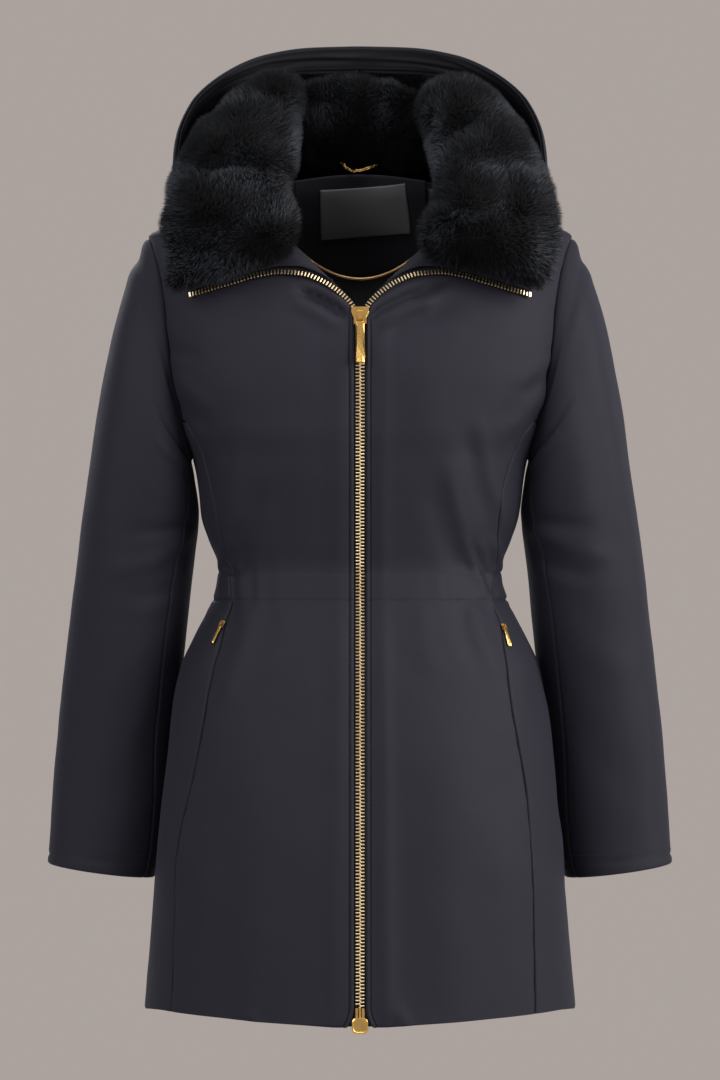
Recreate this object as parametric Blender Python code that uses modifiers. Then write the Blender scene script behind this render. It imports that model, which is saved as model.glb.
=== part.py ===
"""A woman's hip-length parka with a fur-lined hood, filled out as if worn, with nobody in it.

Metres, +Z up. The front faces -Y and +X is the wearer's left. The origin lies midway between the
shoulders, at the level where the coat rests on them. Sizes in the tables are millimetres.
"""

import math

import bmesh
import bpy
import numpy as np
from mathutils import Matrix, Vector

MM = 0.001

# ---------------------------------------------------------------- driving sizes, in millimetres
HEM_Z = -782.0
SHOULDER_END_Z = -13.0
UNDERARM_Z = -235.0
ARMHOLE_HALF_DEPTH = 64.0
ARMHOLE_STEP = 20
NECK_SIDE_Z = 38.0
BACK_NECK_LIFT = 13.0
WALL = 2.3
SEAM = 0.3
SLIDER_Z = -98.0
FRONT_EDGE_X = 9.3
HEM_EDGE_X = 12.4
PLEAT_RELIEF = 1.5
CHANNEL_BOTTOM_Z = -375.0
CHANNEL_TOP_Z = -347.0

SIDES = {"right": -1.0, "left": 1.0}

# The body of the coat: level sections, each a rounded form with its own depth to front and back.
TORSO_COLUMNS = ("height", "half_width", "front", "back", "squareness")
TORSO = (
    (-782, 215.0, 150, 148, 2.02),
    (-634, 202.5, 144, 140, 2.15),
    (-542, 194.0, 136, 132, 2.25),
    (-491, 188.0, 129, 125, 2.32),
    (-441, 178.5, 120, 113, 2.38),
    (-415, 167.0, 114, 106, 2.40),
    (-391, 155.0, 107, 98, 2.40),
    (-369, 145.0, 101, 91, 2.40),
    (-344, 141.5, 98, 88, 2.40),
    (-315, 151.0, 103, 91, 2.40),
    (-292, 158.5, 108, 95, 2.45),
    (-255, 163.0, 116, 102, 2.50),
    (-235, 166.5, 119, 106, 2.50),
    (-205, 178.0, 123, 110, 2.60),
    (-154, 197.0, 124, 115, 2.70),
    (-118, 204.0, 121, 116, 2.70),
    (-70, 209.0, 108, 112, 2.70),
    (-35, 211.5, 90, 104, 2.70),
    (-13, 211.0, 72, 98, 2.60),
    (5, 172.0, 52, 90, 2.50),
    (38, 86.0, 18, 79, 2.30),
    (56, 74.0, 8, 76, 2.30),
)

# The front's hem isn't level: how far it rises above its lowest point, by distance from the centre.
HEM_COLUMNS = ("out", "rise")
HEM = (
    (0, 0.0), (20, 0.0), (60, 2.0), (97, 3.5), (143, 5.2), (176, 5.7), (193, 5.7), (205, 4.2), (211, 2.4), (215, 0.0),
)
HEM_RISE_TO_Z = -745.0

# Where each princess seam lies: its distance from the centre, down the front.
PRINCESS_COLUMNS = ("height", "out")
PRINCESS = {
    "left": (
        (-782, 171), (-700, 170), (-627, 168), (-562, 163), (-510, 154), (-471, 147),
        (-423, 142), (-396, 138), (-371, 130), (-352, 132), (-333, 135), (-300, 136.5),
        (-279, 137), (-251, 144), (-215, 160), (-199, 171),
    ),
    "right": (
        (-782, 185.5), (-711, 183.5), (-652, 182), (-607, 177), (-557, 166), (-485, 152),
        (-441, 145), (-419, 139), (-395, 133.5), (-372, 126), (-350, 126.5), (-330, 132),
        (-302, 138.5), (-263, 147), (-228, 157), (-209, 165), (-199, 171.5),
    ),
}

# The inner edge of each front above the slider, where the cloth rolls outwards into the lapel.
ROLL_COLUMNS = ("height", "out")
ROLL = ((-98, 9.3), (-88, 12.0), (-72, 23.5), (-57, 36.0), (-44, 48.5), (-33, 60.5),
        (-20, 69.0), (-5, 75.0), (15, 81.0), (38, 86.0), (56, 74.0))

# The sleeve: the outermost and innermost point of each ring, its half depth and how far back it hangs.
SLEEVE_COLUMNS = ("outer_x", "outer_z", "inner_x", "inner_z", "depth", "back", "front_seam", "back_seam")
SLEEVE = (
    (223.0, -37, 168.0, -241, 67.0, 0, 160, 138),
    (236.5, -66, 166.2, -249, 70.5, 1, 156, 130),
    (246.0, -97, 165.0, -257, 73.0, 2, 154, 129),
    (253.5, -130, 163.6, -266, 74.5, 4, 152, 128),
    (261.0, -166, 162.4, -276, 75.0, 7, 150, 127),
    (268.5, -208, 161.6, -287, 74.5, 10, 148, 126),
    (276.0, -256, 162.6, -303, 73.0, 14, 145, 125),
    (283.5, -306, 165.6, -327, 70.0, 19, 140, 124),
    (289.5, -354, 170.0, -364, 67.0, 24, 136, 123),
    (295.0, -402, 175.5, -413, 64.0, 30, 134, 123),
    (300.5, -452, 181.5, -464, 61.0, 36, 135, 123),
    (306.5, -510, 190.0, -523, 57.0, 41, 138, 124),
    (311.5, -570, 194.5, -583, 53.0, 45, 141, 125),
    (314.0, -613, 201.0, -628, 49.0, 46, 145, 126),
    (315.0, -637, 208.0, -653, 47.0, 46, 147, 126),
)

# The hood lying open behind the neck: its neck seam, the lowest line of its pouch and its brim.
HOOD_COLUMNS = (
    "neck_x", "neck_y", "neck_z", "low_x", "low_y", "low_z", "brim_x", "brim_y", "brim_z", "bulge"
)
HOOD = (
    (0.0, 80, 52.5, 0, 156, -24, 0, 98, 193, 28),
    (30.0, 75, 51.0, 58, 150, -20, 52, 95, 191, 28),
    (56.0, 60, 48.5, 106, 127, -10, 98, 83, 182, 25),
    (74.0, 40, 44.5, 144, 91, 3, 141, 58, 159, 20),
    (85.0, 17, 41.5, 168, 50, 11, 172, 28, 127, 13),
    (88.0, -6, 38.0, 181, 12, 15, 187, 0, 92, 7),
    (87.0, -25, 26.0, 185, -20, 11, 191, -18, 52, 4),
    (84.0, -48, 12.0, 178, -58, -8, 188, -48, 12, 3),
    (81.0, -64, 0.0, 150, -86, -30, 182, -80, -36, 2),
    (78.0, -76, -10.0, 126, -99, -46, 166, -93, -72, 1),
)

# The turned-out fronts: the roll line, and the edge that carries the open half of the zip.
LAPEL_COLUMNS = ("roll_x", "roll_z", "edge_x", "edge_z", "lift")
LAPEL = (
    (25, -67.8, 28, -66.0, 2.2),
    (30.5, -61.5, 35, -61.5, 3.0),
    (38, -54.5, 46, -56.5, 4.0),
    (50, -42.5, 60, -53.0, 5.0),
    (60, -33.0, 76, -53.0, 5.6),
    (67, -25.0, 97, -57.0, 6.0),
    (72, -18.0, 119, -62.5, 6.0),
    (75, -13.5, 140, -68.0, 6.0),
    (77, -10.5, 163, -74.2, 6.0),
)

# The open half of the zip, from the slider out along the lapel's edge.
TEETH_COLUMNS = ("along", "out", "height", "proud")
TEETH = (
    (0, 2.25, -108.0, 0.0),
    (9, 2.5, -99.0, 0.0),
    (17, 5.2, -91.5, 0.0),
    (25, 9.6, -85.0, 1.4),
    (41, 21.5, -74.8, 4.4),
    (58, 36.5, -65.6, 5.4),
    (80, 57.0, -58.4, 5.4),
    (101, 78.0, -56.9, 6.2),
    (124, 101.0, -60.2, 6.2),
    (146, 122.5, -66.0, 6.2),
    (169, 144.5, -71.8, 6.2),
    (189, 164.0, -77.0, 6.2),
)

# The fur of each side, in sections from its lower edge up to its crown.
FUR_COLUMNS = ("inner_x", "inner_z", "outer_x", "outer_z", "front", "back")
FUR = {
    "right": (
        (73, -43, 176, -66, -125, -103.7),
        (62, -32, 184, -56, -138, -99.7),
        (58, -12, 190, -34, -142, -90),
        (58, 8, 193, -10, -138, -70),
        (68, 22, 195, 12, -124, -46),
        (63, 46, 195, 38, -104, 0),
        (59, 74, 186, 64, -80, 42),
        (61, 101, 172, 90, -54, 64),
        (54, 126, 150, 117, -28, 76),
        (53, 148, 118, 146, 0, 78),
        (68, 160, 100, 160, 20, 60),
    ),
    "left": (
        (70, -44, 170, -68, -125, -105.4),
        (57, -34, 180, -60, -138, -101.4),
        (54, -12, 189, -34, -142, -90),
        (60, 6, 191, -12, -138, -70),
        (76, 18, 190, 12, -124, -46),
        (71, 44, 187, 38, -104, 0),
        (63, 74, 178, 64, -80, 42),
        (56, 98, 172, 90, -54, 64),
        (52, 122, 156, 117, -28, 76),
        (62, 146, 134, 144, 0, 78),
        (84, 159, 112, 158, 20, 60),
    ),
}

# The fur behind the neck, in upright sections from the wearer's right to the wearer's left.
BACK_FUR_COLUMNS = ("across", "middle_y", "half_depth", "bottom", "top")
BACK_FUR = (
    (-80, 84, 8, 70, 132),
    (-72, 87, 15, 62, 150),
    (-50, 89, 20, 58, 162),
    (-22, 92, 21, 57, 168),
    (8, 92, 21, 57, 166),
    (34, 91, 20, 58, 156),
    (56, 88, 19, 60, 150),
    (74, 87, 15, 62, 142),
    (82, 84, 8, 70, 128),
)

FACING_HALF = 70.0
FACING_WALL = 1.0
CHORD_ROOM = 2.4
PIPING_LOW_Z = -47.5
PIPING_RISE = 28.5
PIPING_RADIUS = 1.5
LABEL_WALL = 0.6
LABEL_SIZE = (90.0, 48.0)
LABEL_CENTRE = (3.5, 19.5)
LABEL_TILT = 4.0
HANGER_COLUMNS = ("across", "height")
HANGER_Y = 66.0
HANGER_BOW = 11.3
HANGER = ((-18, 70), (-13, 64), (-7, 61), (0, 61.5), (8, 64), (17, 68))


# ---------------------------------------------------------------- reading the tables
def smooth(keys, values, at):
    """A monotone cubic through the table's points, read at one or many places."""
    keys = np.asarray(keys, float)
    values = np.asarray(values, float)
    step = np.diff(keys)
    slope = np.diff(values) / step
    tangent = np.zeros_like(values)
    tangent[0], tangent[-1] = slope[0], slope[-1]
    for i in range(1, len(keys) - 1):
        if slope[i - 1] * slope[i] > 0:
            before = 2 * step[i] + step[i - 1]
            after = step[i] + 2 * step[i - 1]
            tangent[i] = (before + after) / (before / slope[i - 1] + after / slope[i])
    at = np.clip(np.asarray(at, float), keys[0], keys[-1])
    cell = np.clip(np.searchsorted(keys, at, side="right") - 1, 0, len(step) - 1)
    t = (at - keys[cell]) / step[cell]
    start = (1 + 2 * t) * (1 - t) ** 2 * values[cell] + t * (1 - t) ** 2 * step[cell] * tangent[cell]
    end = t * t * (3 - 2 * t) * values[cell + 1] + t * t * (t - 1) * step[cell] * tangent[cell + 1]
    return start + end


def column(table, columns, name):
    return [row[columns.index(name)] for row in table]


def read(table, columns, name, at):
    """A named column, read against the table's first column."""
    return float(smooth(column(table, columns, columns[0]), column(table, columns, name), at))


def station(table, columns, name, share):
    """A named column, read by the share of the way through the table's rows."""
    return float(smooth(range(len(table)), column(table, columns, name), share * (len(table) - 1)))


# ---------------------------------------------------------------- the body's surface
def unit(vector):
    return vector / np.linalg.norm(vector)


def section(height):
    return [read(TORSO, TORSO_COLUMNS, name, height) for name in TORSO_COLUMNS[1:]]


def turn_of(height, out):
    """How far round its section, from the centre line to the side, a point lies that far out."""
    half_width, _, _, squareness = section(height)
    return math.asin(min(1.0, (abs(out) / half_width) ** (squareness / 2)))


def channel_relief(height):
    """The drawcord channel at the waist stands a little proud, as a padded band does."""
    ramp = 3.0
    rise = np.clip((height - CHANNEL_BOTTOM_Z) / ramp + 0.5, 0, 1)
    fall = np.clip((CHANNEL_TOP_Z - height) / ramp + 0.5, 0, 1)
    return PLEAT_RELIEF * float(min(rise, fall))


def torso(height, turn):
    """A point of the body. Turn 0 is the centre front, a quarter turn the left side, a half the back."""
    half_width, front, back, squareness = section(height)
    power = 2 / squareness
    swell = 1 + channel_relief(height) / half_width
    across, along = math.sin(turn), math.cos(turn)
    depth = front if along > 0 else back
    x = swell * half_width * math.copysign(abs(across) ** power, across)
    y = -swell * depth * math.copysign(abs(along) ** power, along)
    return np.array((x, y, height))


def on_front(out, height, side, proud=0.0):
    """The point of the front that lies this far out at this height, moved out by `proud`."""
    point = torso(height, turn_of(height, out))
    reach = 4.0
    up = torso(height + reach, turn_of(height + reach, out)) - point
    aside = torso(height, turn_of(height, out - reach)) - point
    normal = np.cross(aside, up)
    normal /= np.linalg.norm(normal) or 1.0
    if normal[1] > 0:
        normal = -normal
    return (point + proud * normal) * (side, 1, 1)


def on_back(across, height, depth=0.0):
    """The point of the back this far across, moved into the coat by `depth`."""
    half_width, _, back, squareness = section(height)
    share = min(0.999, abs(across) / half_width)
    y = back * (1 - share**squareness) ** (1 / squareness)
    slope = back * share ** (squareness - 1) / half_width / (y / back) ** (squareness - 1)
    normal = np.array((math.copysign(slope, across), 1.0, 0.0))
    normal /= np.linalg.norm(normal)
    return np.array((across, y, height)) - depth * normal


def armhole(angle):
    """The armhole seam of the left side: 0 at the shoulder, a half turn at the underarm, front first."""
    height = (SHOULDER_END_Z + UNDERARM_Z + (SHOULDER_END_Z - UNDERARM_Z) * math.cos(angle)) / 2
    half_width, front, rear, squareness = section(height)
    reach = ARMHOLE_HALF_DEPTH * math.sin(angle)
    depth = front if reach > 0 else rear
    out = half_width * (1 - (abs(reach) / depth) ** squareness) ** (1 / squareness)
    return np.array((out, -reach, height))


def armhole_edge(height, front=True):
    """The armhole seam at this height, on the straight stretches between its steps."""
    steps = range(0, 181, ARMHOLE_STEP) if front else range(0, -181, -ARMHOLE_STEP)
    knots = [armhole(math.radians(step)) for step in steps][::-1]
    heights = [knot[2] for knot in knots]
    return np.array([np.interp(height, heights, [knot[axis] for knot in knots]) for axis in range(3)])


def turn_to(point, front=True):
    """How far round its section the body's surface passes this point."""
    _, depth, rear, squareness = section(point[2])
    share = min(1.0, abs(point[1]) / (depth if front else rear))
    turn = math.acos(share ** (squareness / 2))
    return turn if front else math.pi - turn


# ---------------------------------------------------------------- making objects
def clear_scene():
    for thing in list(bpy.data.objects):
        bpy.data.objects.remove(thing, do_unlink=True)


def make_collection(name):
    made = bpy.data.collections.new(name)
    bpy.context.scene.collection.children.link(made)
    return made


def finish(name, colour, roughness, metallic=0.0, sheen=0.0):
    made = bpy.data.materials.new(name)
    made.use_nodes = True
    shader = made.node_tree.nodes["Principled BSDF"]
    shader.inputs["Base Color"].default_value = (*colour, 1)
    shader.inputs["Roughness"].default_value = roughness
    shader.inputs["Metallic"].default_value = metallic
    shader.inputs["Sheen Weight"].default_value = sheen
    return made


def add_object(name, mesh, material, collection):
    made = bpy.data.objects.new(name, mesh)
    mesh.materials.append(material)
    collection.objects.link(made)
    return made


def mesh_of(name, points, faces):
    mesh = bpy.data.meshes.new(name)
    mesh.from_pydata([tuple(float(v) * MM for v in p) for p in points], [], faces)
    mesh.update()
    return mesh


def cloth(name, rows, material, collection, wall=WALL, flip=False):
    """A panel: an open surface through rows of points, with its thickness on the inner side."""
    count = len(rows[0])
    points = [point for row in rows for point in row]
    faces = []
    for i in range(len(rows) - 1):
        for j in range(count - 1):
            a = i * count + j
            face = (a, a + 1, a + count + 1, a + count)
            faces.append(face[::-1] if flip else face)
    mesh = mesh_of(name, points, faces)
    mesh.shade_smooth()
    made = add_object(name, mesh, material, collection)
    thickness = made.modifiers.new("wall", "SOLIDIFY")
    thickness.thickness = wall * MM
    thickness.offset = -1
    return made


def soft_form(name, rings, material, collection, levels=1):
    """A closed soft body from a coarse cage of rings, with a pole at each end, then subdivided."""
    count = len(rings[0])
    points = [point for ring in rings for point in ring]
    faces = []
    for i in range(len(rings) - 1):
        for j in range(count):
            a, b = i * count + j, i * count + (j + 1) % count
            faces.append((a, b, b + count, a + count))
    first = len(points)
    points += [np.mean(rings[0], axis=0), np.mean(rings[-1], axis=0)]
    last = (len(rings) - 1) * count
    for j in range(count):
        faces.append((first, (j + 1) % count, j))
        faces.append((first + 1, last + j, last + (j + 1) % count))
    mesh = mesh_of(name, points, faces)
    shape = bmesh.new()
    shape.from_mesh(mesh)
    bmesh.ops.recalc_face_normals(shape, faces=shape.faces)
    shape.to_mesh(mesh)
    shape.free()
    mesh.shade_smooth()
    made = add_object(name, mesh, material, collection)
    smoothing = made.modifiers.new("soft", "SUBSURF")
    smoothing.levels = levels
    smoothing.render_levels = levels
    return made


def swept_bar(name, path, aside, outward, half_wide, half_deep, material, collection):
    """A bar of oblong section along a path, each with its sideways and outward direction."""
    rings = []
    for point, across, out in zip(path, aside, outward):
        corners = ((-1, -1), (1, -1), (1, 1), (-1, 1))
        rings.append([point + u * half_wide * across + v * half_deep * out for u, v in corners])
    points = [point for ring in rings for point in ring]
    faces = []
    for i in range(len(rings) - 1):
        for j in range(4):
            a, b = 4 * i + j, 4 * i + (j + 1) % 4
            faces.append((a, b, b + 4, a + 4))
    faces.append((3, 2, 1, 0))
    faces.append(tuple(4 * (len(rings) - 1) + j for j in range(4)))
    mesh = mesh_of(name, points, faces)
    shape = bmesh.new()
    shape.from_mesh(mesh)
    bmesh.ops.recalc_face_normals(shape, faces=shape.faces)
    shape.to_mesh(mesh)
    shape.free()
    return add_object(name, mesh, material, collection)


def tube(name, path, radius, material, collection, sides=2):
    """A round cord through a smooth line of points."""
    curve = bpy.data.curves.new(name, "CURVE")
    curve.dimensions = "3D"
    curve.bevel_depth = radius * MM
    curve.bevel_resolution = sides
    curve.use_fill_caps = True
    line = curve.splines.new("POLY")
    line.points.add(len(path) - 1)
    for knot, point in zip(line.points, path):
        knot.co = (*(float(v) * MM for v in point), 1)
    made = bpy.data.objects.new(name, curve)
    curve.materials.append(material)
    collection.objects.link(made)
    return made


def spaced(points, count, start_gap=0.0, end_gap=0.0):
    """The line through these points again, as `count` evenly spaced points between its gaps."""
    points = np.asarray(points, float)
    lengths = np.concatenate([[0], np.cumsum(np.linalg.norm(np.diff(points, axis=0), axis=1))])
    wanted = np.linspace(start_gap, lengths[-1] - end_gap, count)
    return np.stack([np.interp(wanted, lengths, points[:, axis]) for axis in range(3)], axis=1)


# ---------------------------------------------------------------- the body panels
CHAIN_END_Z = -764.0
TAPE_END_Z = -771.5
TEETH_SINK = 1.6
BODY_ROWS = (
    -782, -745, -700, -655, -610, -565, -520, -480, -448, -420, -398, -378.5, -373.5, -361,
    -348.5, -343.5, -325, -305, -280, -255, -235,
)
ARMHOLE_ROWS = tuple(
    (SHOULDER_END_Z + UNDERARM_Z + (SHOULDER_END_Z - UNDERARM_Z) * math.cos(math.radians(step))) / 2
    for step in range(180 - ARMHOLE_STEP, -1, -ARMHOLE_STEP)
)
PRINCESS_TOP_Z = -199.0
SHOULDER_ROWS = (-4, 6, 17, 28, 38)
BACK_SEAM = 0.5
FRONT_ROWS = BODY_ROWS[1:] + ARMHOLE_ROWS[:2] + (PRINCESS_TOP_Z,) + ARMHOLE_ROWS[2:4] + (-110,)
FINE = 40


def body_row(height, start, end, count, side, edge=None):
    """A row of a front panel, from one turn to another at one height, or to a point of the armhole."""
    line = [torso(height, start + (end - start) * i / FINE) * (side, 1, 1) for i in range(FINE + 1)]
    if edge is not None:
        line[-1] = edge * (side, 1, 1)
    row = spaced(line, count, SEAM, SEAM)
    fade = max(0.0, (HEM_RISE_TO_Z - height) / (HEM_RISE_TO_Z - HEM_Z))
    rise = smooth(column(HEM, HEM_COLUMNS, "out"), column(HEM, HEM_COLUMNS, "rise"), np.abs(row[:, 0]))
    row[:, 2] += fade * rise
    return row


def front_edge(height):
    """How far out the front's edge lies: beside the zip, then along the roll of the lapel."""
    if height > SLIDER_Z:
        return read(ROLL, ROLL_COLUMNS, "out", height)
    flare = np.clip((-763 - height) / (-763 - HEM_Z), 0, 1) ** 2
    return FRONT_EDGE_X + (HEM_EDGE_X - FRONT_EDGE_X) * float(flare)


def princess(height, side):
    return read(PRINCESS[side], PRINCESS_COLUMNS, "out", height)


def front_centre(side, shell, collection):
    """From the zip to the princess seam, and from the armhole up to the shoulder seam."""
    rows = []
    across = 7
    sign = SIDES[side]
    extra = (PRINCESS_TOP_Z, -110, -98, -88, -76, -54)
    for height in sorted(BODY_ROWS + ARMHOLE_ROWS + extra + SHOULDER_ROWS):
        start = turn_of(height, front_edge(height))
        if height <= PRINCESS_TOP_Z:
            row = body_row(height, start, turn_of(height, princess(height, side)), across, sign)
        elif height < SHOULDER_END_Z - 1:
            edge = armhole_edge(height)
            row = body_row(height, start, turn_to(edge), across, sign, edge)
        else:
            row = body_row(height, start, math.pi / 2, across, sign)
        rows.append(row)
    return cloth("front_centre_" + side, rows, shell, collection, flip=side == "right")


def front_side(side, shell, collection):
    """Between the princess seam and the side seam, up to the armhole."""
    rows = []
    sign = SIDES[side]
    for height in BODY_ROWS + ARMHOLE_ROWS[:2] + (PRINCESS_TOP_Z,):
        start = turn_of(height, princess(height, side))
        if height <= UNDERARM_Z:
            rows.append(body_row(height, start, math.pi / 2, 5, sign))
        else:
            edge = armhole_edge(height)
            rows.append(body_row(height, start, turn_to(edge), 5, sign, edge))
    return cloth("front_side_" + side, rows, shell, collection, flip=side == "right")


def back(shell, collection):
    """One piece from side seam to side seam, its neck edge rising a little to the middle."""
    rows = []
    for height in BODY_ROWS + ARMHOLE_ROWS + SHOULDER_ROWS:
        start = math.pi / 2
        edge = None
        if UNDERARM_Z < height < SHOULDER_END_Z - 1:
            edge = armhole_edge(height, front=False)
            start = turn_to(edge, front=False)
        line = [torso(height, start + (2 * math.pi - 2 * start) * i / FINE) for i in range(FINE + 1)]
        if edge is not None:
            line[0] = edge
            line[-1] = edge * (-1, 1, 1)
        gap = BACK_SEAM if edge is None else SEAM
        row = spaced(line, 15, gap, gap)
        lift = BACK_NECK_LIFT * max(0.0, (height - SHOULDER_ROWS[0]) / (NECK_SIDE_Z - SHOULDER_ROWS[0]))
        row[:, 2] += lift * np.clip(1 - (row[:, 0] / 86) ** 2, 0, 1)
        rows.append(row)
    return cloth("back", rows, shell, collection)


# ---------------------------------------------------------------- the sleeves
SLEEVE_EASE = 3.0
SLEEVE_SEAM = 0.55
SLEEVE_ROWS = 13
TOP_START, TOP_END = -140, 160


def sleeve_point(share, angle, side):
    """A point of the sleeve. Share 0 is the first ring past the armhole and 1 is the cuff's edge."""
    place = {name: station(SLEEVE, SLEEVE_COLUMNS, name, share) for name in SLEEVE_COLUMNS[:6]}
    outer = np.array((place["outer_x"], 0.0, place["outer_z"]))
    inner = np.array((place["inner_x"], 0.0, place["inner_z"]))
    point = (outer + inner) / 2 + (outer - inner) / 2 * math.cos(angle)
    point[1] = place["back"] - place["depth"] * math.sin(angle)
    return point * (side, 1, 1)


def sleeve_start(angle, side, ease):
    """A point on the armhole seam, moved past it the way the cloth runs on into the sleeve."""
    run = section(SHOULDER_END_Z)[0] - section(NECK_SIDE_Z)[0]
    slope = math.atan2(SHOULDER_END_Z - NECK_SIDE_Z, run)
    over = np.array((math.cos(slope), 0.0, math.sin(slope)))
    under = np.array((1.0, 0.0, -0.6))
    share = (1 - math.cos(angle)) / 2
    onward = over * (1 - share) + under * share
    return (armhole(angle) + ease * onward / np.linalg.norm(onward)) * (side, 1, 1)


def trimmed(line, gap):
    """The line with its two ends drawn in by the seam's gap."""
    line = np.array(line)
    for end, beside in ((0, 1), (-1, -2)):
        inward = line[beside] - line[end]
        line[end] = line[end] + gap * inward / np.linalg.norm(inward)
    return line


def beside_seams(start, end, steps):
    """The panel's columns, with one more close to each seam so that neighbours lean alike there."""
    step = (end - start) / steps
    marks = [start + i * step for i in range(steps + 1)]
    return [marks[0], marks[0] + step / 4] + marks[1:-1] + [marks[-1] - step / 4, marks[-1]]


def sleeve_panel(name, side, start_angle, end_angle, seam_angles, shell, collection):
    """One piece of the two-piece sleeve. Its columns start at the armhole's own steps."""
    rows = []
    sign = SIDES[side]
    steps = (end_angle - start_angle) // ARMHOLE_STEP
    for ease in (2 * SEAM, SLEEVE_EASE):
        line = []
        for angle in beside_seams(start_angle, end_angle, steps):
            before = start_angle + (angle - start_angle) // ARMHOLE_STEP * ARMHOLE_STEP
            part = (angle - before) / ARMHOLE_STEP
            ends = [sleeve_start(math.radians(before + k * ARMHOLE_STEP), sign, ease) for k in (0, 1)]
            line.append(ends[0] * (1 - part) + ends[1] * part)
        rows.append(trimmed(line, SLEEVE_SEAM))
    for share in np.linspace(0, 1, SLEEVE_ROWS):
        start, end = seam_angles(share)
        line = [sleeve_point(share, math.radians(angle), sign) for angle in beside_seams(start, end, steps)]
        rows.append(trimmed(line, SLEEVE_SEAM))
    return cloth(name + side, rows, shell, collection, flip=side == "right")


def top_seams(share):
    front = station(SLEEVE, SLEEVE_COLUMNS, "front_seam", share)
    return -station(SLEEVE, SLEEVE_COLUMNS, "back_seam", share), front


def under_seams(share):
    rear, front = top_seams(share)
    return front, rear + 360


def sleeves(side, shell, collection):
    sleeve_panel("sleeve_top_", side, TOP_START, TOP_END, top_seams, shell, collection)
    sleeve_panel("sleeve_under_", side, TOP_END, TOP_START + 360, under_seams, shell, collection)


# ---------------------------------------------------------------- the hood
BRIM_LAST = 10
BRIM_TURN = 0.6
BRIM_WIDTH = 24.0
BRIM_WALL = 1.5
LINING_LAST = 7
LINING_STOP = 0.5
LINING_DEPTH = 8.0
LAPEL_STEPS = 5
LAPEL_GAP = 2.6
REST = 0.6


def hood_point(share, along, side):
    """A point of the hood: share 0 at the centre back, 1 at the lapel; along runs neck, pouch, brim."""
    place = {name: station(HOOD, HOOD_COLUMNS, name, share) for name in HOOD_COLUMNS}
    neck = np.array((place["neck_x"], place["neck_y"], place["neck_z"]))
    low = np.array((place["low_x"], place["low_y"], place["low_z"]))
    brim = np.array((place["brim_x"], place["brim_y"], place["brim_z"]))
    outward = (low - neck) * (1, 1, 0)
    outward /= np.linalg.norm(outward)
    up = np.array((0.0, 0.0, 1.0))
    fall = neck[2] - low[2]
    rise = brim[2] - low[2]
    if along < 0.5:
        t = along * 2
        knots = (neck, neck + outward * 0.5 * abs(fall), low - outward * 0.45 * abs(fall), low)
    else:
        t = along * 2 - 1
        swell = outward * place["bulge"]
        knots = (low, low + 1.4 * swell, brim + 1.7 * swell - up * 0.34 * rise, brim)
    shares = ((1 - t) ** 3, 3 * t * (1 - t) ** 2, 3 * t * t * (1 - t), t**3)
    return sum(weight * knot for weight, knot in zip(shares, knots)) * (side, 1, 1)


def hood_rows(side, shares, count, start_gap):
    rows = []
    for share in shares:
        line = [hood_point(share, i / FINE, side) for i in range(FINE + 1)]
        rows.append(spaced(line, count, start_gap))
    return rows


def inset(rows, depth):
    """The same surface, moved by `depth` along its own normals."""
    grid = np.array(rows)
    normal = np.cross(np.gradient(grid, axis=0), np.gradient(grid, axis=1))
    normal /= np.linalg.norm(normal, axis=2, keepdims=True)
    return grid + depth * normal


HOOD_STEPS = 15
HOOD_COLUMNS_MADE = 17


def hood_grid(side):
    """The hood's rows from the centre back round to the lapel, each from the neck seam to the brim."""
    shares = [0.001 + 0.999 * i / HOOD_STEPS for i in range(HOOD_STEPS + 1)]
    rows = hood_rows(side, shares, HOOD_COLUMNS_MADE, 3 * SEAM)
    rows[0] = rows[0] * (0, 1, 1) + (side * SEAM, 0, 0)
    rows[-1] = spaced(lapel_line(1.0, side, REST), HOOD_COLUMNS_MADE)
    return rows


def hood(shell, collection):
    for side, sign in SIDES.items():
        cloth("hood_" + side, hood_grid(sign), shell, collection, flip=side == "right")


def inside_hood(last, start, stop, count, depth):
    """Rows inside the hood, up to `last` each side, from a distance below the brim to a share of the row."""
    rows = []
    grid = hood_grid(1)
    for k in range(-last, last + 1):
        line = grid[abs(k)][::-1] * (1 if k > 0 else -1 if k < 0 else 0, 1, 1)
        lengths = np.concatenate([[0], np.cumsum(np.linalg.norm(np.diff(line, axis=0), axis=1))])
        wanted = np.linspace(start, stop * lengths[-1] if stop < 1 else stop, count)
        rows.append(np.stack([np.interp(wanted, lengths, line[:, axis]) for axis in range(3)], axis=1))
    return inset(rows, -depth)


def hood_brim(shell, collection):
    """The facing that turns the brim's edge to the inside, all round the opening."""
    rows = inside_hood(BRIM_LAST, BRIM_TURN, BRIM_TURN + BRIM_WIDTH, 3, WALL + 2 * SEAM)
    return cloth("hood_brim", rows, shell, collection, wall=BRIM_WALL, flip=True)


def fur_hood(fur, collection):
    """The fur lining of the hood's back, below its brim facing."""
    start = BRIM_TURN + BRIM_WIDTH + 2.0
    rows = inside_hood(LINING_LAST, start, LINING_STOP, 8, WALL + 4 * SEAM)
    return cloth("fur_hood", rows, fur, collection, wall=LINING_DEPTH, flip=True)


# ---------------------------------------------------------------- the lapels, zip and trim
def lapel_line(share, side, base):
    """The lapel from its roll line to its edge, lifted off the front by `base` and its own rise."""
    place = {name: station(LAPEL, LAPEL_COLUMNS, name, share) for name in LAPEL_COLUMNS}
    line = []
    for i in range(LAPEL_STEPS + 1):
        t = i / LAPEL_STEPS
        out = place["roll_x"] * (1 - t) + place["edge_x"] * t
        height = place["roll_z"] * (1 - t) + place["edge_z"] * t
        crown = 1 + 0.5 * math.sin(math.pi * t) * share
        line.append(on_front(out, height, side, base + place["lift"] * crown * min(1, 0.35 + t)))
    return line


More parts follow.
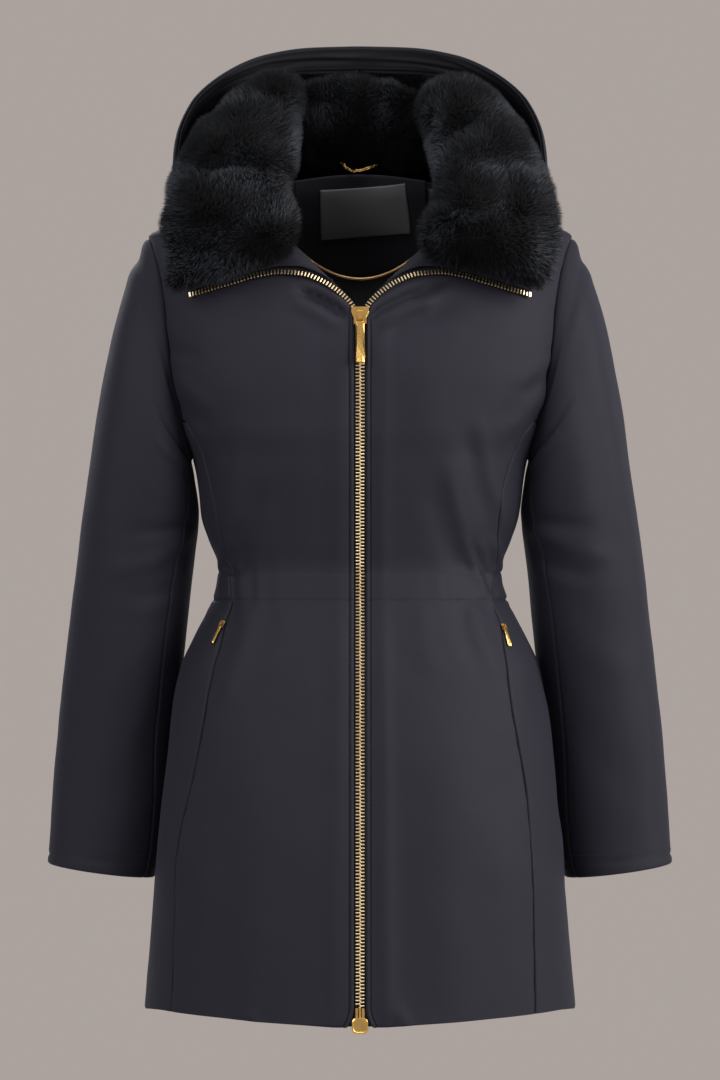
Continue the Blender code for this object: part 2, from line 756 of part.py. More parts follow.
def lapel(side, shell, collection):
    """The front's turned-out facing, from the roll line out to the edge that carries the zip."""
    rows = [np.array(lapel_line(k / 14, SIDES[side], WALL + REST)) for k in range(15)]
    for k in range(LAPEL_STEPS + 1):
        rows[-1][k] += LAPEL_GAP * unit(rows[-2][k] - rows[-1][k])
    return cloth("lapel_" + side, rows, shell, collection, flip=side == "right")


def zip_teeth(side, metal, collection):
    """The teeth of one half of the zip, as one strip: closed up the front, then open along the lapel."""
    path, aside, outward = [], [], []
    sign = SIDES[side]
    for height in (CHAIN_END_Z,) + FRONT_ROWS:
        path.append(on_front(2.25, height, sign, -TEETH_SINK))
    for along in np.linspace(0, TEETH[-1][0], 26):
        out = read(TEETH, TEETH_COLUMNS, "out", along)
        height = read(TEETH, TEETH_COLUMNS, "height", along)
        path.append(on_front(out, height, sign, read(TEETH, TEETH_COLUMNS, "proud", along) - TEETH_SINK))
    path = np.array(path)
    direction = np.gradient(path, axis=0)
    for point, along in zip(path, direction):
        out = on_front(abs(point[0]), point[2], sign, 1) - on_front(abs(point[0]), point[2], sign, 0)
        across = np.cross(along, out)
        aside.append(across / np.linalg.norm(across))
        outward.append(out / np.linalg.norm(out))
    return swept_bar("zip_teeth_" + side, path, aside, outward, 2.0, 1.7, metal, collection)


def zip_tape(side, ribbon, collection):
    """The woven tape behind the front's edge, that holds the teeth below the slider."""
    rows = []
    sign = SIDES[side]
    for height in (TAPE_END_Z,) + FRONT_ROWS:
        rows.append([on_front(out, height, sign, -WALL - 2 * SEAM) for out in (4.7, 13.0)])
    return cloth("zip_tape_" + side, rows, ribbon, collection, wall=1.0, flip=side == "right")


def back_neck_facing(lining, collection):
    """A half-moon of lining cloth inside the back of the neck."""
    rows = []
    for across in np.linspace(-FACING_HALF, FACING_HALF, 13):
        low = piping_height(across) + PIPING_RADIUS + SEAM
        high = NECK_SIDE_Z + (BACK_NECK_LIFT + 1.5) * (1 - (across / 86) ** 2)
        rows.append([on_back(across, height, WALL + CHORD_ROOM) for height in np.linspace(low, high, 5)])
    return cloth("back_neck_facing", rows, lining, collection, wall=FACING_WALL, flip=True)


def piping_height(across):
    return PIPING_LOW_Z + PIPING_RISE * (across / 64) ** 2


def neck_piping(piping, collection):
    """The round metallic piping sewn along the facing's lower edge."""
    depth = WALL + CHORD_ROOM + PIPING_RADIUS
    path = [on_back(across, piping_height(across), depth) for across in np.linspace(-76, 76, 19)]
    return tube("neck_piping", path, PIPING_RADIUS, piping, collection, sides=1)


def neck_label(satin, collection):
    """The blank woven label on the facing."""
    rows = []
    tilt = math.radians(LABEL_TILT)
    depth = WALL + CHORD_ROOM + FACING_WALL + 2 * SEAM
    for u in np.linspace(-LABEL_SIZE[0] / 2, LABEL_SIZE[0] / 2, 8):
        row = []
        for v in np.linspace(-LABEL_SIZE[1] / 2, LABEL_SIZE[1] / 2, 4):
            across = LABEL_CENTRE[0] + u * math.cos(tilt) - v * math.sin(tilt)
            height = LABEL_CENTRE[1] + u * math.sin(tilt) + v * math.cos(tilt)
            row.append(on_back(across, height, depth))
        rows.append(row)
    return cloth("neck_label", rows, satin, collection, wall=LABEL_WALL, flip=True)


def hanger_chain(metal, collection):
    """The fine chain that the coat is hung up by, fastened at both ends under the fur."""
    knots = np.array([(across, HANGER_Y + HANGER_BOW * (across / 18) ** 2, height) for across, height in HANGER])
    steps = np.linspace(0, len(knots) - 1, 16)
    path = np.stack([smooth(range(len(knots)), knots[:, axis], steps) for axis in range(3)], axis=1)
    return tube("hanger_chain", path, 0.9, metal, collection, sides=1)


# ---------------------------------------------------------------- the zip's hard parts
# In each one's own frame: x across, y up along the zip and z out of the cloth. A pull's "body" is a
# row for each section below the hinge's axis: how far up it lies, its half width and its half depth.
MAIN_ZIP = {
    "plate": (
        (-6.2, -9.0), (-6.2, -3.0), (-8.6, 3.5), (-8.6, 8.4), (8.6, 8.4), (8.6, 3.5), (6.2, -3.0), (6.2, -9.0),
    ),
    "plate_from": 0.8, "plate_to": 2.5, "chamfer": 0.3,
    "strap_width": 5.4, "strap_reach": 5.2, "strap_from": 5.4, "strap_to": 6.7,
    "axis_out": 3.95, "axis_up": -1.0, "bar": 0.8, "arm_in": 3.1, "arm_out": 4.5, "window": 6.8,
    "body": (
        (-6.2, 4.5, 0.9), (-10.5, 4.3, 1.4), (-19.0, 4.2, 2.2), (-30.0, 4.4, 2.9), (-41.0, 5.0, 3.0), (-47.0, 4.6, 2.2),
    ),
    "twist": 9.0, "lean": 2.0,
}
POCKET_ZIP = {
    "plate": (
        (-2.4, -3.4), (-2.4, -1.0), (-3.0, 1.4), (-3.0, 3.2), (3.0, 3.2), (3.0, 1.4), (2.4, -1.0), (2.4, -3.4),
    ),
    "plate_from": 0.5, "plate_to": 1.4, "chamfer": 0.15,
    "strap_width": 2.4, "strap_reach": 2.4, "strap_from": 3.1, "strap_to": 3.7,
    "axis_out": 2.25, "axis_up": -0.4, "bar": 0.45, "arm_in": 1.5, "arm_out": 2.1, "window": 3.2,
    "body": (
        (-2.9, 2.1, 0.5), (-5.0, 1.9, 0.7), (-9.0, 1.8, 0.9), (-14.0, 1.9, 1.1), (-18.5, 2.2, 1.1), (-20.8, 2.0, 0.8),
    ),
    "twist": 9.0, "lean": 0.0,
}
POCKET_SPOTS = {"left": ((140.4, -400.4), (145.9, -420.8)), "right": ((134.3, -397.4), (143.0, -415.9))}
BACK_PLATE_FROM, BACK_PLATE_TO = -5.2, -3.7
WEDGE = ((0.0, -0.5), (2.3, 6.4), (3.0, 8.2), (-3.0, 8.2), (-2.3, 6.4))
BOX_OUTLINE = ((-4.2, 8.4), (-4.2, 0.6), (-6.5, 0.0), (-7.7, -1.2), (-7.7, -13.0), (-6.3, -14.6),
               (6.3, -14.6), (7.7, -13.0), (7.7, -1.2), (6.5, 0.0), (4.2, 0.6), (4.2, 8.4))
BOX_Z = -773.0
BOX_FROM, BOX_TO = -3.2, 0.3


def placement(origin, up, out):
    """The matrix of a small hard part: x across, y up along the zip, z out of the cloth."""
    up = unit(up)
    across = unit(np.cross(up, out))
    out = np.cross(across, up)
    rows = [(float(across[i]), float(up[i]), float(out[i]), float(origin[i]) * MM) for i in range(3)]
    return Matrix(rows + [(0, 0, 0, 1)])


def flat_mesh(name, outlines, low, high, chamfer=0.0):
    """A flat plate from closed outlines (a hole is an outline inside another), from `low` to `high`."""
    curve = bpy.data.curves.new(name, "CURVE")
    curve.dimensions = "2D"
    curve.fill_mode = "BOTH"
    curve.extrude = (high - low) / 2 * MM - chamfer * MM
    curve.bevel_depth = chamfer * MM
    curve.bevel_resolution = 0
    curve.offset = -chamfer * MM
    for outline in outlines:
        line = curve.splines.new("POLY")
        line.points.add(len(outline) - 1)
        line.use_cyclic_u = True
        for knot, (x, y) in zip(line.points, outline):
            knot.co = (x * MM, y * MM, 0, 1)
    holder = bpy.data.objects.new(name, curve)
    bpy.context.scene.collection.objects.link(holder)
    mesh = bpy.data.meshes.new_from_object(holder.evaluated_get(bpy.context.evaluated_depsgraph_get()))
    bpy.data.objects.remove(holder, do_unlink=True)
    shape = bmesh.new()
    shape.from_mesh(mesh)
    bmesh.ops.remove_doubles(shape, verts=shape.verts, dist=0.00001)
    bmesh.ops.recalc_face_normals(shape, faces=shape.faces)
    shape.to_mesh(mesh)
    shape.free()
    mesh.transform(Matrix.Translation((0, 0, (low + high) / 2 * MM)))
    return mesh


def joined(name, meshes, matrix, material, collection, cutters):
    """The first mesh with the others joined on, all in one frame."""
    made = add_object(name, meshes[0], material, collection)
    made.matrix_world = matrix
    for k, mesh in enumerate(meshes[1:]):
        other = bpy.data.objects.new(name + "_tool_" + str(k), mesh)
        other.matrix_world = matrix
        other.hide_render = True
        other.display_type = "WIRE"
        cutters.objects.link(other)
        join = made.modifiers.new("join_" + str(k), "BOOLEAN")
        join.operation = "UNION"
        join.solver = "EXACT"
        join.object = other
    return made


def strap_mesh(name, size):
    """The arch on a slider's plate that the pull hangs from."""
    reach, base, low, high = size["strap_reach"], size["plate_to"] - 0.3, size["strap_from"], size["strap_to"]
    thick = high - low
    outer = [(-reach, base), (-reach, low - thick), (-reach + 1.2 * thick, high), (reach - 1.2 * thick, high),
             (reach, low - thick), (reach, base)]
    inner = [(reach - thick, base), (reach - thick, low - thick), (reach - 1.6 * thick, low),
             (-reach + 1.6 * thick, low), (-reach + thick, low - thick), (-reach + thick, base)]
    half = size["strap_width"] / 2
    mesh = flat_mesh(name, [outer + inner], -half, half)
    mesh.transform(Matrix(((0, 0, 1, 0), (1, 0, 0, 0), (0, 1, 0, 0), (0, 0, 0, 1))))
    return mesh


def pull_mesh(name, size):
    """The faceted bar of a pull, below its window."""
    rings = []
    length = size["body"][-1][0] - size["body"][0][0]
    for up, half_wide, half_deep in size["body"]:
        turn = math.radians(size["twist"]) * (up - size["body"][0][0]) / length
        ring = []
        for x, z in ((-1, 0), (-0.62, 1), (0.62, 1), (1, 0), (0.62, -1), (-0.62, -1)):
            x, z = x * half_wide, z * half_deep
            turned = (x * math.cos(turn) - z * math.sin(turn), x * math.sin(turn) + z * math.cos(turn))
            ring.append((turned[0], up, turned[1]))
        rings.append(ring)
    count = len(rings[0])
    points = [point for ring in rings for point in ring]
    faces = []
    for i in range(len(rings) - 1):
        for j in range(count):
            a, b = i * count + j, i * count + (j + 1) % count
            faces.append((a, b, b + count, a + count))
    faces.append(tuple(range(count))[::-1])
    faces.append(tuple((len(rings) - 1) * count + j for j in range(count)))
    mesh = mesh_of(name, points, faces)
    shape = bmesh.new()
    shape.from_mesh(mesh)
    bmesh.ops.recalc_face_normals(shape, faces=shape.faces)
    shape.to_mesh(mesh)
    shape.free()
    return mesh


def zip_pull(name, size, origin, up, out, hang, metal, collection, cutters):
    """A pull, its origin on the hinge's axis, hanging along `hang`."""
    across = unit(np.cross(unit(up), out))
    lean = Matrix.Rotation(math.radians(size["lean"]), 4, Vector([float(v) for v in across]))
    down = np.array(lean @ Vector([float(v) for v in unit(hang)]))
    bar, inner, outer = size["bar"], size["arm_in"], size["arm_out"]
    foot = -size["window"] - 1.4 * bar
    frame = [(-outer, bar), (outer, bar), (outer, foot), (-outer, foot)]
    hole = [(-inner, -bar), (-inner, -size["window"]), (inner, -size["window"]), (inner, -bar)]
    head = flat_mesh(name + "_head", [frame, hole], -bar, bar)
    meshes = [head, pull_mesh(name + "_bar", size)]
    return joined(name, meshes, placement(origin, -down, out), metal, collection, cutters)


def main_zip(metal, collection, cutters):
    """The slider at the bottom of the neck opening, its pull, and the box at the zip's lower end."""
    low, high = (torso(height, 0.0) for height in (SLIDER_Z - 9, SLIDER_Z + 8))
    up = high - low
    out = np.array((0.0, -up[2], up[1]))
    origin = torso(SLIDER_Z, 0.0)
    size = MAIN_ZIP
    plate = flat_mesh("plate", [size["plate"]], size["plate_from"], size["plate_to"], size["chamfer"])
    rear = flat_mesh("rear", [size["plate"]], BACK_PLATE_FROM, BACK_PLATE_TO, size["chamfer"])
    wedge = flat_mesh("wedge", [WEDGE], BACK_PLATE_TO - 0.3, size["plate_from"] + 0.3)
    strap = strap_mesh("strap", size)
    strap.transform(Matrix.Translation((0, size["axis_up"] * MM, 0)))
    joined("zip_slider", [plate, wedge, rear, strap], placement(origin, up, out), metal, collection, cutters)
    axis = origin + size["axis_out"] * unit(out) + size["axis_up"] * unit(up)
    zip_pull("zip_pull", size, axis, up, out, -up, metal, collection, cutters)
    slope = torso(BOX_Z + 9, 0.0) - torso(HEM_Z, 0.0)
    box = flat_mesh("box", [BOX_OUTLINE], BOX_FROM, BOX_TO, 0.5)
    matrix = placement(torso(BOX_Z, 0.0), slope, np.array((0.0, -slope[2], slope[1])))
    joined("zip_box", [box], matrix, metal, collection, cutters)


def pocket_zip(side, metal, collection, cutters):
    """The small slider at the top of a pocket's zip, which lies hidden in the princess seam."""
    size = POCKET_ZIP
    sign = SIDES[side]
    (top_x, top_z), (low_x, low_z) = POCKET_SPOTS[side]
    spot = on_front(top_x, top_z, sign)
    below = on_front(low_x, low_z, sign)
    up = spot - below
    middle = ((top_x + low_x) / 2, (top_z + low_z) / 2, sign)
    out = on_front(*middle, 1.0) - on_front(*middle)
    plate = flat_mesh("plate", [size["plate"]], size["plate_from"], size["plate_to"], size["chamfer"])
    strap = strap_mesh("strap", size)
    strap.transform(Matrix.Translation((0, size["axis_up"] * MM, 0)))
    joined("pocket_slider_" + side, [plate, strap], placement(spot, up, out), metal, collection, cutters)
    axes = placement(spot, up, out)
    axis = np.array(axes @ Vector((0, size["axis_up"] * MM, size["axis_out"] * MM))) / MM
    zip_pull("pocket_pull_" + side, size, axis, up, out, -up, metal, collection, cutters)


def fur_side(side, fur, collection):
    """The fur of one side: a thick soft body, resting on the chest and leaning back as it rises."""
    rings = []
    around = 10
    for inner_x, inner_z, outer_x, outer_z, front, rear in FUR[side]:
        middle = np.array(((inner_x + outer_x) / 2, (front + rear) / 2, (inner_z + outer_z) / 2))
        wide = np.array(((outer_x - inner_x) / 2, 0, (outer_z - inner_z) / 2))
        deep = np.array((0, (rear - front) / 2, 0))
        ring = []
        for i in range(around):
            angle = 2 * math.pi * i / around
            cos, sin = math.cos(angle), math.sin(angle)
            square = 1 / max(abs(cos), abs(sin)) ** 0.45
            ring.append((middle + square * (cos * wide + sin * deep)) * (SIDES[side], 1, 1))
        rings.append(ring)
    return soft_form("fur_" + side, rings, fur, collection)


def fur_back(fur, collection):
    """The fur behind the neck, between the two sides."""
    rings = []
    around = 12
    for across, middle_y, half_depth, bottom, top in BACK_FUR:
        middle = np.array((across, middle_y, (bottom + top) / 2))
        ring = []
        for i in range(around):
            angle = 2 * math.pi * i / around
            cos, sin = math.cos(angle), math.sin(angle)
            square = 1 / max(abs(cos), abs(sin)) ** 0.45
            ring.append(middle + square * np.array((0, cos * half_depth, sin * (top - bottom) / 2)))
        rings.append(ring)
    return soft_form("fur_back", rings, fur, collection)


def main():
    clear_scene()
    coat = make_collection("fur_trimmed_parka")
    cutters = make_collection("cutters")
    cutters.hide_render = True
    shell = finish("shell_cloth", (0.034, 0.032, 0.042), 0.62, sheen=0.25)
    fur = finish("black_fur", (0.006, 0.007, 0.009), 0.9, sheen=0.6)
    gold = finish("gold_metal", (0.78, 0.55, 0.22), 0.28, metallic=1.0)
    lining = finish("lining_cloth", (0.014, 0.014, 0.017), 0.5)
    satin = finish("label_satin", (0.010, 0.010, 0.011), 0.35)
    piping = finish("copper_piping", (0.62, 0.33, 0.15), 0.35, metallic=0.4)
    ribbon = finish("zip_ribbon", (0.012, 0.012, 0.015), 0.8)
    back(shell, coat)
    for side in SIDES:
        front_centre(side, shell, coat)
        front_side(side, shell, coat)
        sleeves(side, shell, coat)
        lapel(side, shell, coat)
        zip_teeth(side, gold, coat)
        zip_tape(side, ribbon, coat)
        fur_side(side, fur, coat)
        pocket_zip(side, gold, coat, cutters)
    main_zip(gold, coat, cutters)
    hood(shell, coat)
    hood_brim(shell, coat)
    fur_hood(fur, coat)
    fur_back(fur, coat)
    back_neck_facing(lining, coat)
    neck_label(satin, coat)
    neck_piping(piping, coat)
    hanger_chain(gold, coat)


main()
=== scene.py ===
"""The fur trimmed parka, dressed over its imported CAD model."""

import math

import bmesh
import bpy
import numpy as np
from mathutils import Matrix, Vector, noise


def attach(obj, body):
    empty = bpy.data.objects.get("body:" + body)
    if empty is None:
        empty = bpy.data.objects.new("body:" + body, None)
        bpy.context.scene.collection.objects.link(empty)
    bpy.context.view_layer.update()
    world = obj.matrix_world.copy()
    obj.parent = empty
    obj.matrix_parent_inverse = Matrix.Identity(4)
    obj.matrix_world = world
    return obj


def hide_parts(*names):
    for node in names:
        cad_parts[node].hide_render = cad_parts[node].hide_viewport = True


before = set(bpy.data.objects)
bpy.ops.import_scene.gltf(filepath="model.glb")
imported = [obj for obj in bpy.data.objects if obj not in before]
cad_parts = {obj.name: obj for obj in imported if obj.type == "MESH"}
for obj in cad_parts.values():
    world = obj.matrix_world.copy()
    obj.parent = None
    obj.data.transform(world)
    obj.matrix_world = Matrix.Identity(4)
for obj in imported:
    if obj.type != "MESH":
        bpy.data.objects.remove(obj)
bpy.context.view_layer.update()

# ---------------------------------------------------------------- the studio
# A pale paper floor well below the hem, one plain backdrop tone all round, and five big soft
# lights: a frontal pair, stronger from the wearer's left, one beside, one above and one behind.
CAMERA_PLACE, LENS, SENSOR, FARTHEST_SEEN = (0.0, -3.5, -0.315), 116.67, 36.0, 60.0
LIGHTS_AIM = (0, 0, -0.3)
BACKDROP = (0.407, 0.362, 0.337)
AMBIENT, AMBIENT_STRENGTH = (0.86, 0.88, 0.92), 0.42
# name, place, width and height, watts, tint
SOFTBOXES = (
    ("key", (2.0, -1.6, 0.6), (1.4, 1.4), 68.0, (1.0, 0.985, 0.97)),
    ("fill", (-1.7, -2.0, 0.5), (1.65, 1.65), 41.0, (0.96, 0.98, 1.0)),
    ("side", (2.4, -0.5, 0.0), (1.2, 1.6), 25.0, (1.0, 0.985, 0.97)),
    ("top", (0.2, -0.7, 2.4), (2.4, 1.6), 38.0, (1.0, 1.0, 1.0)),
    ("rear", (-0.6, 2.6, 1.3), (2.4, 1.6), 50.0, (0.97, 0.98, 1.0)),
)
# The floor fades into the backdrop between these two distances from its middle.
FLOOR_Z, FLOOR_RADIUS, FADE_FROM, FADE_TO = -1.25, 2.4, 1.5, 2.65


def placed(name, data):
    """A new object in the scene, unturned at the origin."""
    made = bpy.data.objects.new(name, data)
    scene.collection.objects.link(made)
    return made


def from_bmesh(name, shape, finish=None, rounded=False):
    """The object of a finished bmesh, which is freed."""
    mesh = bpy.data.meshes.new(name)
    shape.to_mesh(mesh)
    shape.free()
    if rounded:
        mesh.shade_smooth()
    if finish:
        mesh.materials.append(finish)
    return placed(name, mesh)


def set_on(node, **given):
    """Words in small letters are the node's own settings, the others are values of its sockets."""
    for label, value in given.items():
        if label[0].islower():
            setattr(node, label, value)
        else:
            node.inputs[label.replace("_", " ")].default_value = value
    return node


def add(tree, kind, **given):
    return set_on(tree.nodes.new(kind), **given)


def wire(tree, *pairs):
    """Links each pair of sockets, the first feeding the second."""
    for source, target in pairs:
        tree.links.new(source, target)


def new_finish(name):
    """A new material, its tree and its shader."""
    made = bpy.data.materials.new(name)
    made.use_nodes = True
    return made, made.node_tree, made.node_tree.nodes["Principled BSDF"]


scene = bpy.context.scene
scene.view_settings.view_transform = "Standard"
camera_data = bpy.data.cameras.new("camera")
camera_data.sensor_width, camera_data.lens, camera_data.clip_end = SENSOR, LENS, FARTHEST_SEEN
scene.camera = placed("camera", camera_data)
scene.camera.location = CAMERA_PLACE
scene.camera.rotation_euler = (math.radians(90), 0.0, 0.0)

world = bpy.data.worlds.new("studio")
scene.world = world
world.use_nodes = True
world.node_tree.nodes.clear()
seen_tone = add(world.node_tree, "ShaderNodeBackground", Color=(*BACKDROP, 1))
room_light = add(world.node_tree, "ShaderNodeBackground", Color=(*AMBIENT, 1), Strength=AMBIENT_STRENGTH)
ray = add(world.node_tree, "ShaderNodeLightPath")
choose = add(world.node_tree, "ShaderNodeMixShader")
world_out = add(world.node_tree, "ShaderNodeOutputWorld")
wire(
    world.node_tree, (ray.outputs["Is Camera Ray"], choose.inputs[0]),
    (room_light.outputs[0], choose.inputs[1]),
    (seen_tone.outputs[0], choose.inputs[2]), (choose.outputs[0], world_out.inputs[0]),
)
for name, spot, size, power, tint in SOFTBOXES:
    lamp_data = bpy.data.lights.new("softbox_" + name, "AREA")
    lamp_data.shape = "RECTANGLE"
    lamp_data.size, lamp_data.size_y = size
    lamp_data.energy, lamp_data.color = power, tint
    lamp = placed("softbox_" + name, lamp_data)
    lamp.location = spot
    lamp.rotation_euler = (Vector(LIGHTS_AIM) - Vector(spot)).to_track_quat("-Z", "Y").to_euler()

paper, paper_tree, paper_face = new_finish("backdrop_paper")
set_on(paper_face, Base_Color=(*BACKDROP, 1), Roughness=0.9)
paper_spot = add(paper_tree, "ShaderNodeTexCoord")
paper_reach = add(paper_tree, "ShaderNodeVectorMath", operation="LENGTH")
paper_fade = add(paper_tree, "ShaderNodeMapRange", interpolation_type="SMOOTHSTEP",
                 From_Min=FADE_FROM, From_Max=FADE_TO, To_Min=1.0, To_Max=0.0)
wire(
    paper_tree, (paper_spot.outputs["Object"], paper_reach.inputs[0]),
    (paper_reach.outputs["Value"], paper_fade.inputs["Value"]),
    (paper_fade.outputs[0], paper_face.inputs["Alpha"]),
)
floor_shape = bmesh.new()
bmesh.ops.create_circle(floor_shape, cap_ends=True, segments=96, radius=FLOOR_RADIUS)
bmesh.ops.translate(floor_shape, verts=floor_shape.verts, vec=(0, 0, FLOOR_Z))
from_bmesh("floor", floor_shape, paper)

# ---------------------------------------------------------------- the body
# Five cut pieces of matt twill over a light fill and a black taffeta lining: a back, and on each
# side a front from the zip to the princess seam and a side front beyond it. They are sewn edge to
# edge, each seam lies in a shallow valley, and a drawcord's channel runs round the waist.
MM = 0.001  # The sizes of the coat's pieces are in millimetres.
SHELL_LIGHT, SHELL_DARK = (0.0127, 0.0116, 0.0192), (0.0073, 0.0066, 0.0114)
LINING_LIGHT, LINING_DARK = (0.0700, 0.0670, 0.0720), (0.0380, 0.0365, 0.0395)
TWILL_RIBS, TAFFETA_RIBS = 820.0, 1500.0
HEM_Z, SHOULDER_END_Z, UNDERARM_Z, NECK_SIDE_Z = -782.0, -13.0, -235.0, 38.0
ARMHOLE_HALF_DEPTH, BACK_NECK_LIFT, PRINCESS_TOP_Z = 64.0, 13.0, -199.0
CHANNEL_BOTTOM_Z, CHANNEL_TOP_Z, PLEAT_RELIEF = -375.0, -347.0, 0.7
CHANNEL_MIDDLE_Z = (CHANNEL_TOP_Z + CHANNEL_BOTTOM_Z) / 2
CHANNEL_ROWS = (CHANNEL_TOP_Z - 1.0, CHANNEL_BOTTOM_Z + 1.0)
SLIDER_Z, FRONT_EDGE_X, HEM_EDGE_X, FLARE_TOP_Z, HEM_RISE_TO_Z = -98.0, 5.8, 12.4, -763.0, -745.0
SHELL_WALL, PLACKET_STITCH, HEM_TURN_ROWS, NECK_HALF_WIDTH = 1.7, 4.5, 9, 86.0
SIDES = {"right": -1.0, "left": 1.0}
# height, half width, depth to the front and to the back, squareness
TORSO = np.array((
    (-782, 215.0, 150, 148, 2.02), (-634, 202.5, 144, 140, 2.15), (-542, 194.0, 136, 132, 2.25),
    (-491, 188.0, 129, 125, 2.32), (-441, 178.5, 120, 113, 2.38), (-415, 167.0, 114, 106, 2.40),
    (-391, 155.0, 107, 98, 2.40), (-369, 145.0, 101, 91, 2.40), (-344, 141.5, 98, 88, 2.40),
    (-315, 151.0, 103, 91, 2.40), (-292, 158.5, 108, 95, 2.45), (-255, 163.0, 116, 102, 2.50),
    (-235, 166.5, 119, 106, 2.50), (-205, 178.0, 123, 110, 2.60), (-154, 197.0, 124, 115, 2.70),
    (-118, 204.0, 121, 116, 2.70), (-70, 209.0, 108, 112, 2.70), (-35, 211.5, 90, 104, 2.70),
    (-13, 211.0, 72, 98, 2.60), (5, 172.0, 52, 90, 2.50), (38, 86.0, 18, 79, 2.30), (56, 74.0, 8, 76, 2.30),
))
# distance from the centre, rise of the front's hem
HEM = np.array((
    (0, 0.0), (20, 0.0), (60, 2.0), (97, 3.5), (143, 5.2), (176, 5.7), (193, 5.7), (205, 4.2), (211, 2.4),
    (215, 0.0),
))
PRINCESS = {
    "left": np.array((
        (-782, 171), (-700, 170), (-627, 168), (-562, 163), (-510, 154), (-471, 147), (-423, 142), (-396, 138),
        (-371, 130), (-352, 132), (-333, 135), (-300, 136.5), (-279, 137), (-251, 144), (-215, 160),
        (-199, 171),
    )),
    "right": np.array((
        (-782, 185.5), (-711, 183.5), (-652, 182), (-607, 177), (-557, 166), (-485, 152), (-441, 145),
        (-419, 139), (-395, 133.5), (-372, 126), (-350, 126.5), (-330, 132), (-302, 138.5), (-263, 147),
        (-228, 157), (-209, 165), (-199, 171.5),
    )),
}
ROLL = np.array((
    (-98, 5.8), (-88, 10.5), (-72, 23.5), (-57, 36.0), (-44, 48.5), (-33, 60.5), (-20, 69.0), (-5, 75.0),
    (15, 81.0), (38, 86.0), (56, 74.0),
))
# Creases: from x, z to x, z, how wide, how far out (or in), and how far each one bows sideways.
FRONT_CREASES = (
    (108, -316, 138, -380, 3.6, -2.8, 0), (101, -316, 131, -380, 5.0, 1.5, 0),
    (-133, -341, -122, -350, 3.0, -3.0, 0), (-15, -98, -56, -74, 4.2, -8.5, 2),
    (-27, -106, -66, -84, 6.0, 3.4, 2), (-20, -118, -70, -94, 9.0, -1.2, 2), (12, -98, 60, -73, 4.2, -8.5, -2),
    (24, -107, 70, -84, 6.0, 3.4, -2), (52, -84, 80, -62, 5.5, -4.2, -2), (30, -116, 84, -90, 9.0, -1.2, -3),
    (24, -120, 92, -92, 13.0, -1.2, -4), (-186, -128, -158, -136, 5.0, -1.6, 1),
    (-180, -152, -146, -186, 7.0, 1.8, 3), (-176, -176, -150, -206, 6.0, -1.7, 2),
    (-166, -200, -134, -252, 9.0, 1.4, -3), (190, -146, 160, -172, 6.0, -2.0, -2),
    (184, -166, 150, -206, 8.0, 2.0, -4), (174, -188, 148, -226, 6.0, -1.8, 2),
    (116, -204, 143, -296, 7.0, 2.3, 3), (104, -214, 130, -310, 9.0, -1.5, 4),
    (86, -250, 116, -344, 7.0, 2.1, 3), (70, -272, 98, -345, 10.0, -1.3, 4), (60, -150, 96, -260, 26.0, 2.0, 8),
    (-60, -150, -92, -262, 28.0, 1.8, -8), (-118, -228, -136, -318, 9.0, 1.7, -3),
    (-100, -262, -122, -343, 10.0, -1.4, -3), (-84, -285, -106, -346, 9.0, 1.2, -2),
    (-128, -312, -140, -346, 5.0, 2.0, 1), (118, -318, 128, -346, 4.5, 2.2, 0),
    (132, -316, 142, -346, 5.0, 2.2, 1), (104, -322, 110, -346, 4.5, -1.5, 0),
    (-112, -322, -117, -346, 4.5, -1.5, 0), (-104, -377, -132, -470, 9.0, 1.8, -4),
    (-124, -378, -150, -452, 7.0, -1.6, -3), (-70, -377, -84, -450, 12.0, 1.1, -3),
    (112, -377, 134, -446, 8.0, 1.8, 3), (96, -377, 110, -430, 7.0, -1.4, 2),
    (60, -377, 72, -445, 12.0, 1.2, 3), (176, -440, 200, -596, 12.0, -2.6, 8),
    (190, -452, 206, -640, 12.0, 2.4, 6), (-176, -470, -198, -660, 12.0, 2.0, -5),
    (-21, -370, -25, -782, 8.0, 2.3, 0), (21, -370, 26, -782, 8.0, 2.6, 0), (-21, -110, -21, -345, 8.0, 1.7, 0),
    (21, -112, 21, -345, 8.0, 1.9, 0), (-70, -520, -92, -782, 34.0, 2.4, 6),
    (84, -500, 96, -782, 36.0, 2.4, -6), (-128, -560, -140, -782, 26.0, -1.8, 4),
    (46, -560, 52, -782, 26.0, -1.6, 3), (-108, -770, -96, -784, 5.0, 1.6, 0),
    (34, -764, 46, -784, 6.0, 1.9, 0), (-150, -640, -156, -782, 16.0, 1.2, 0),
    (140, -600, 150, -782, 22.0, 1.8, 0),
)
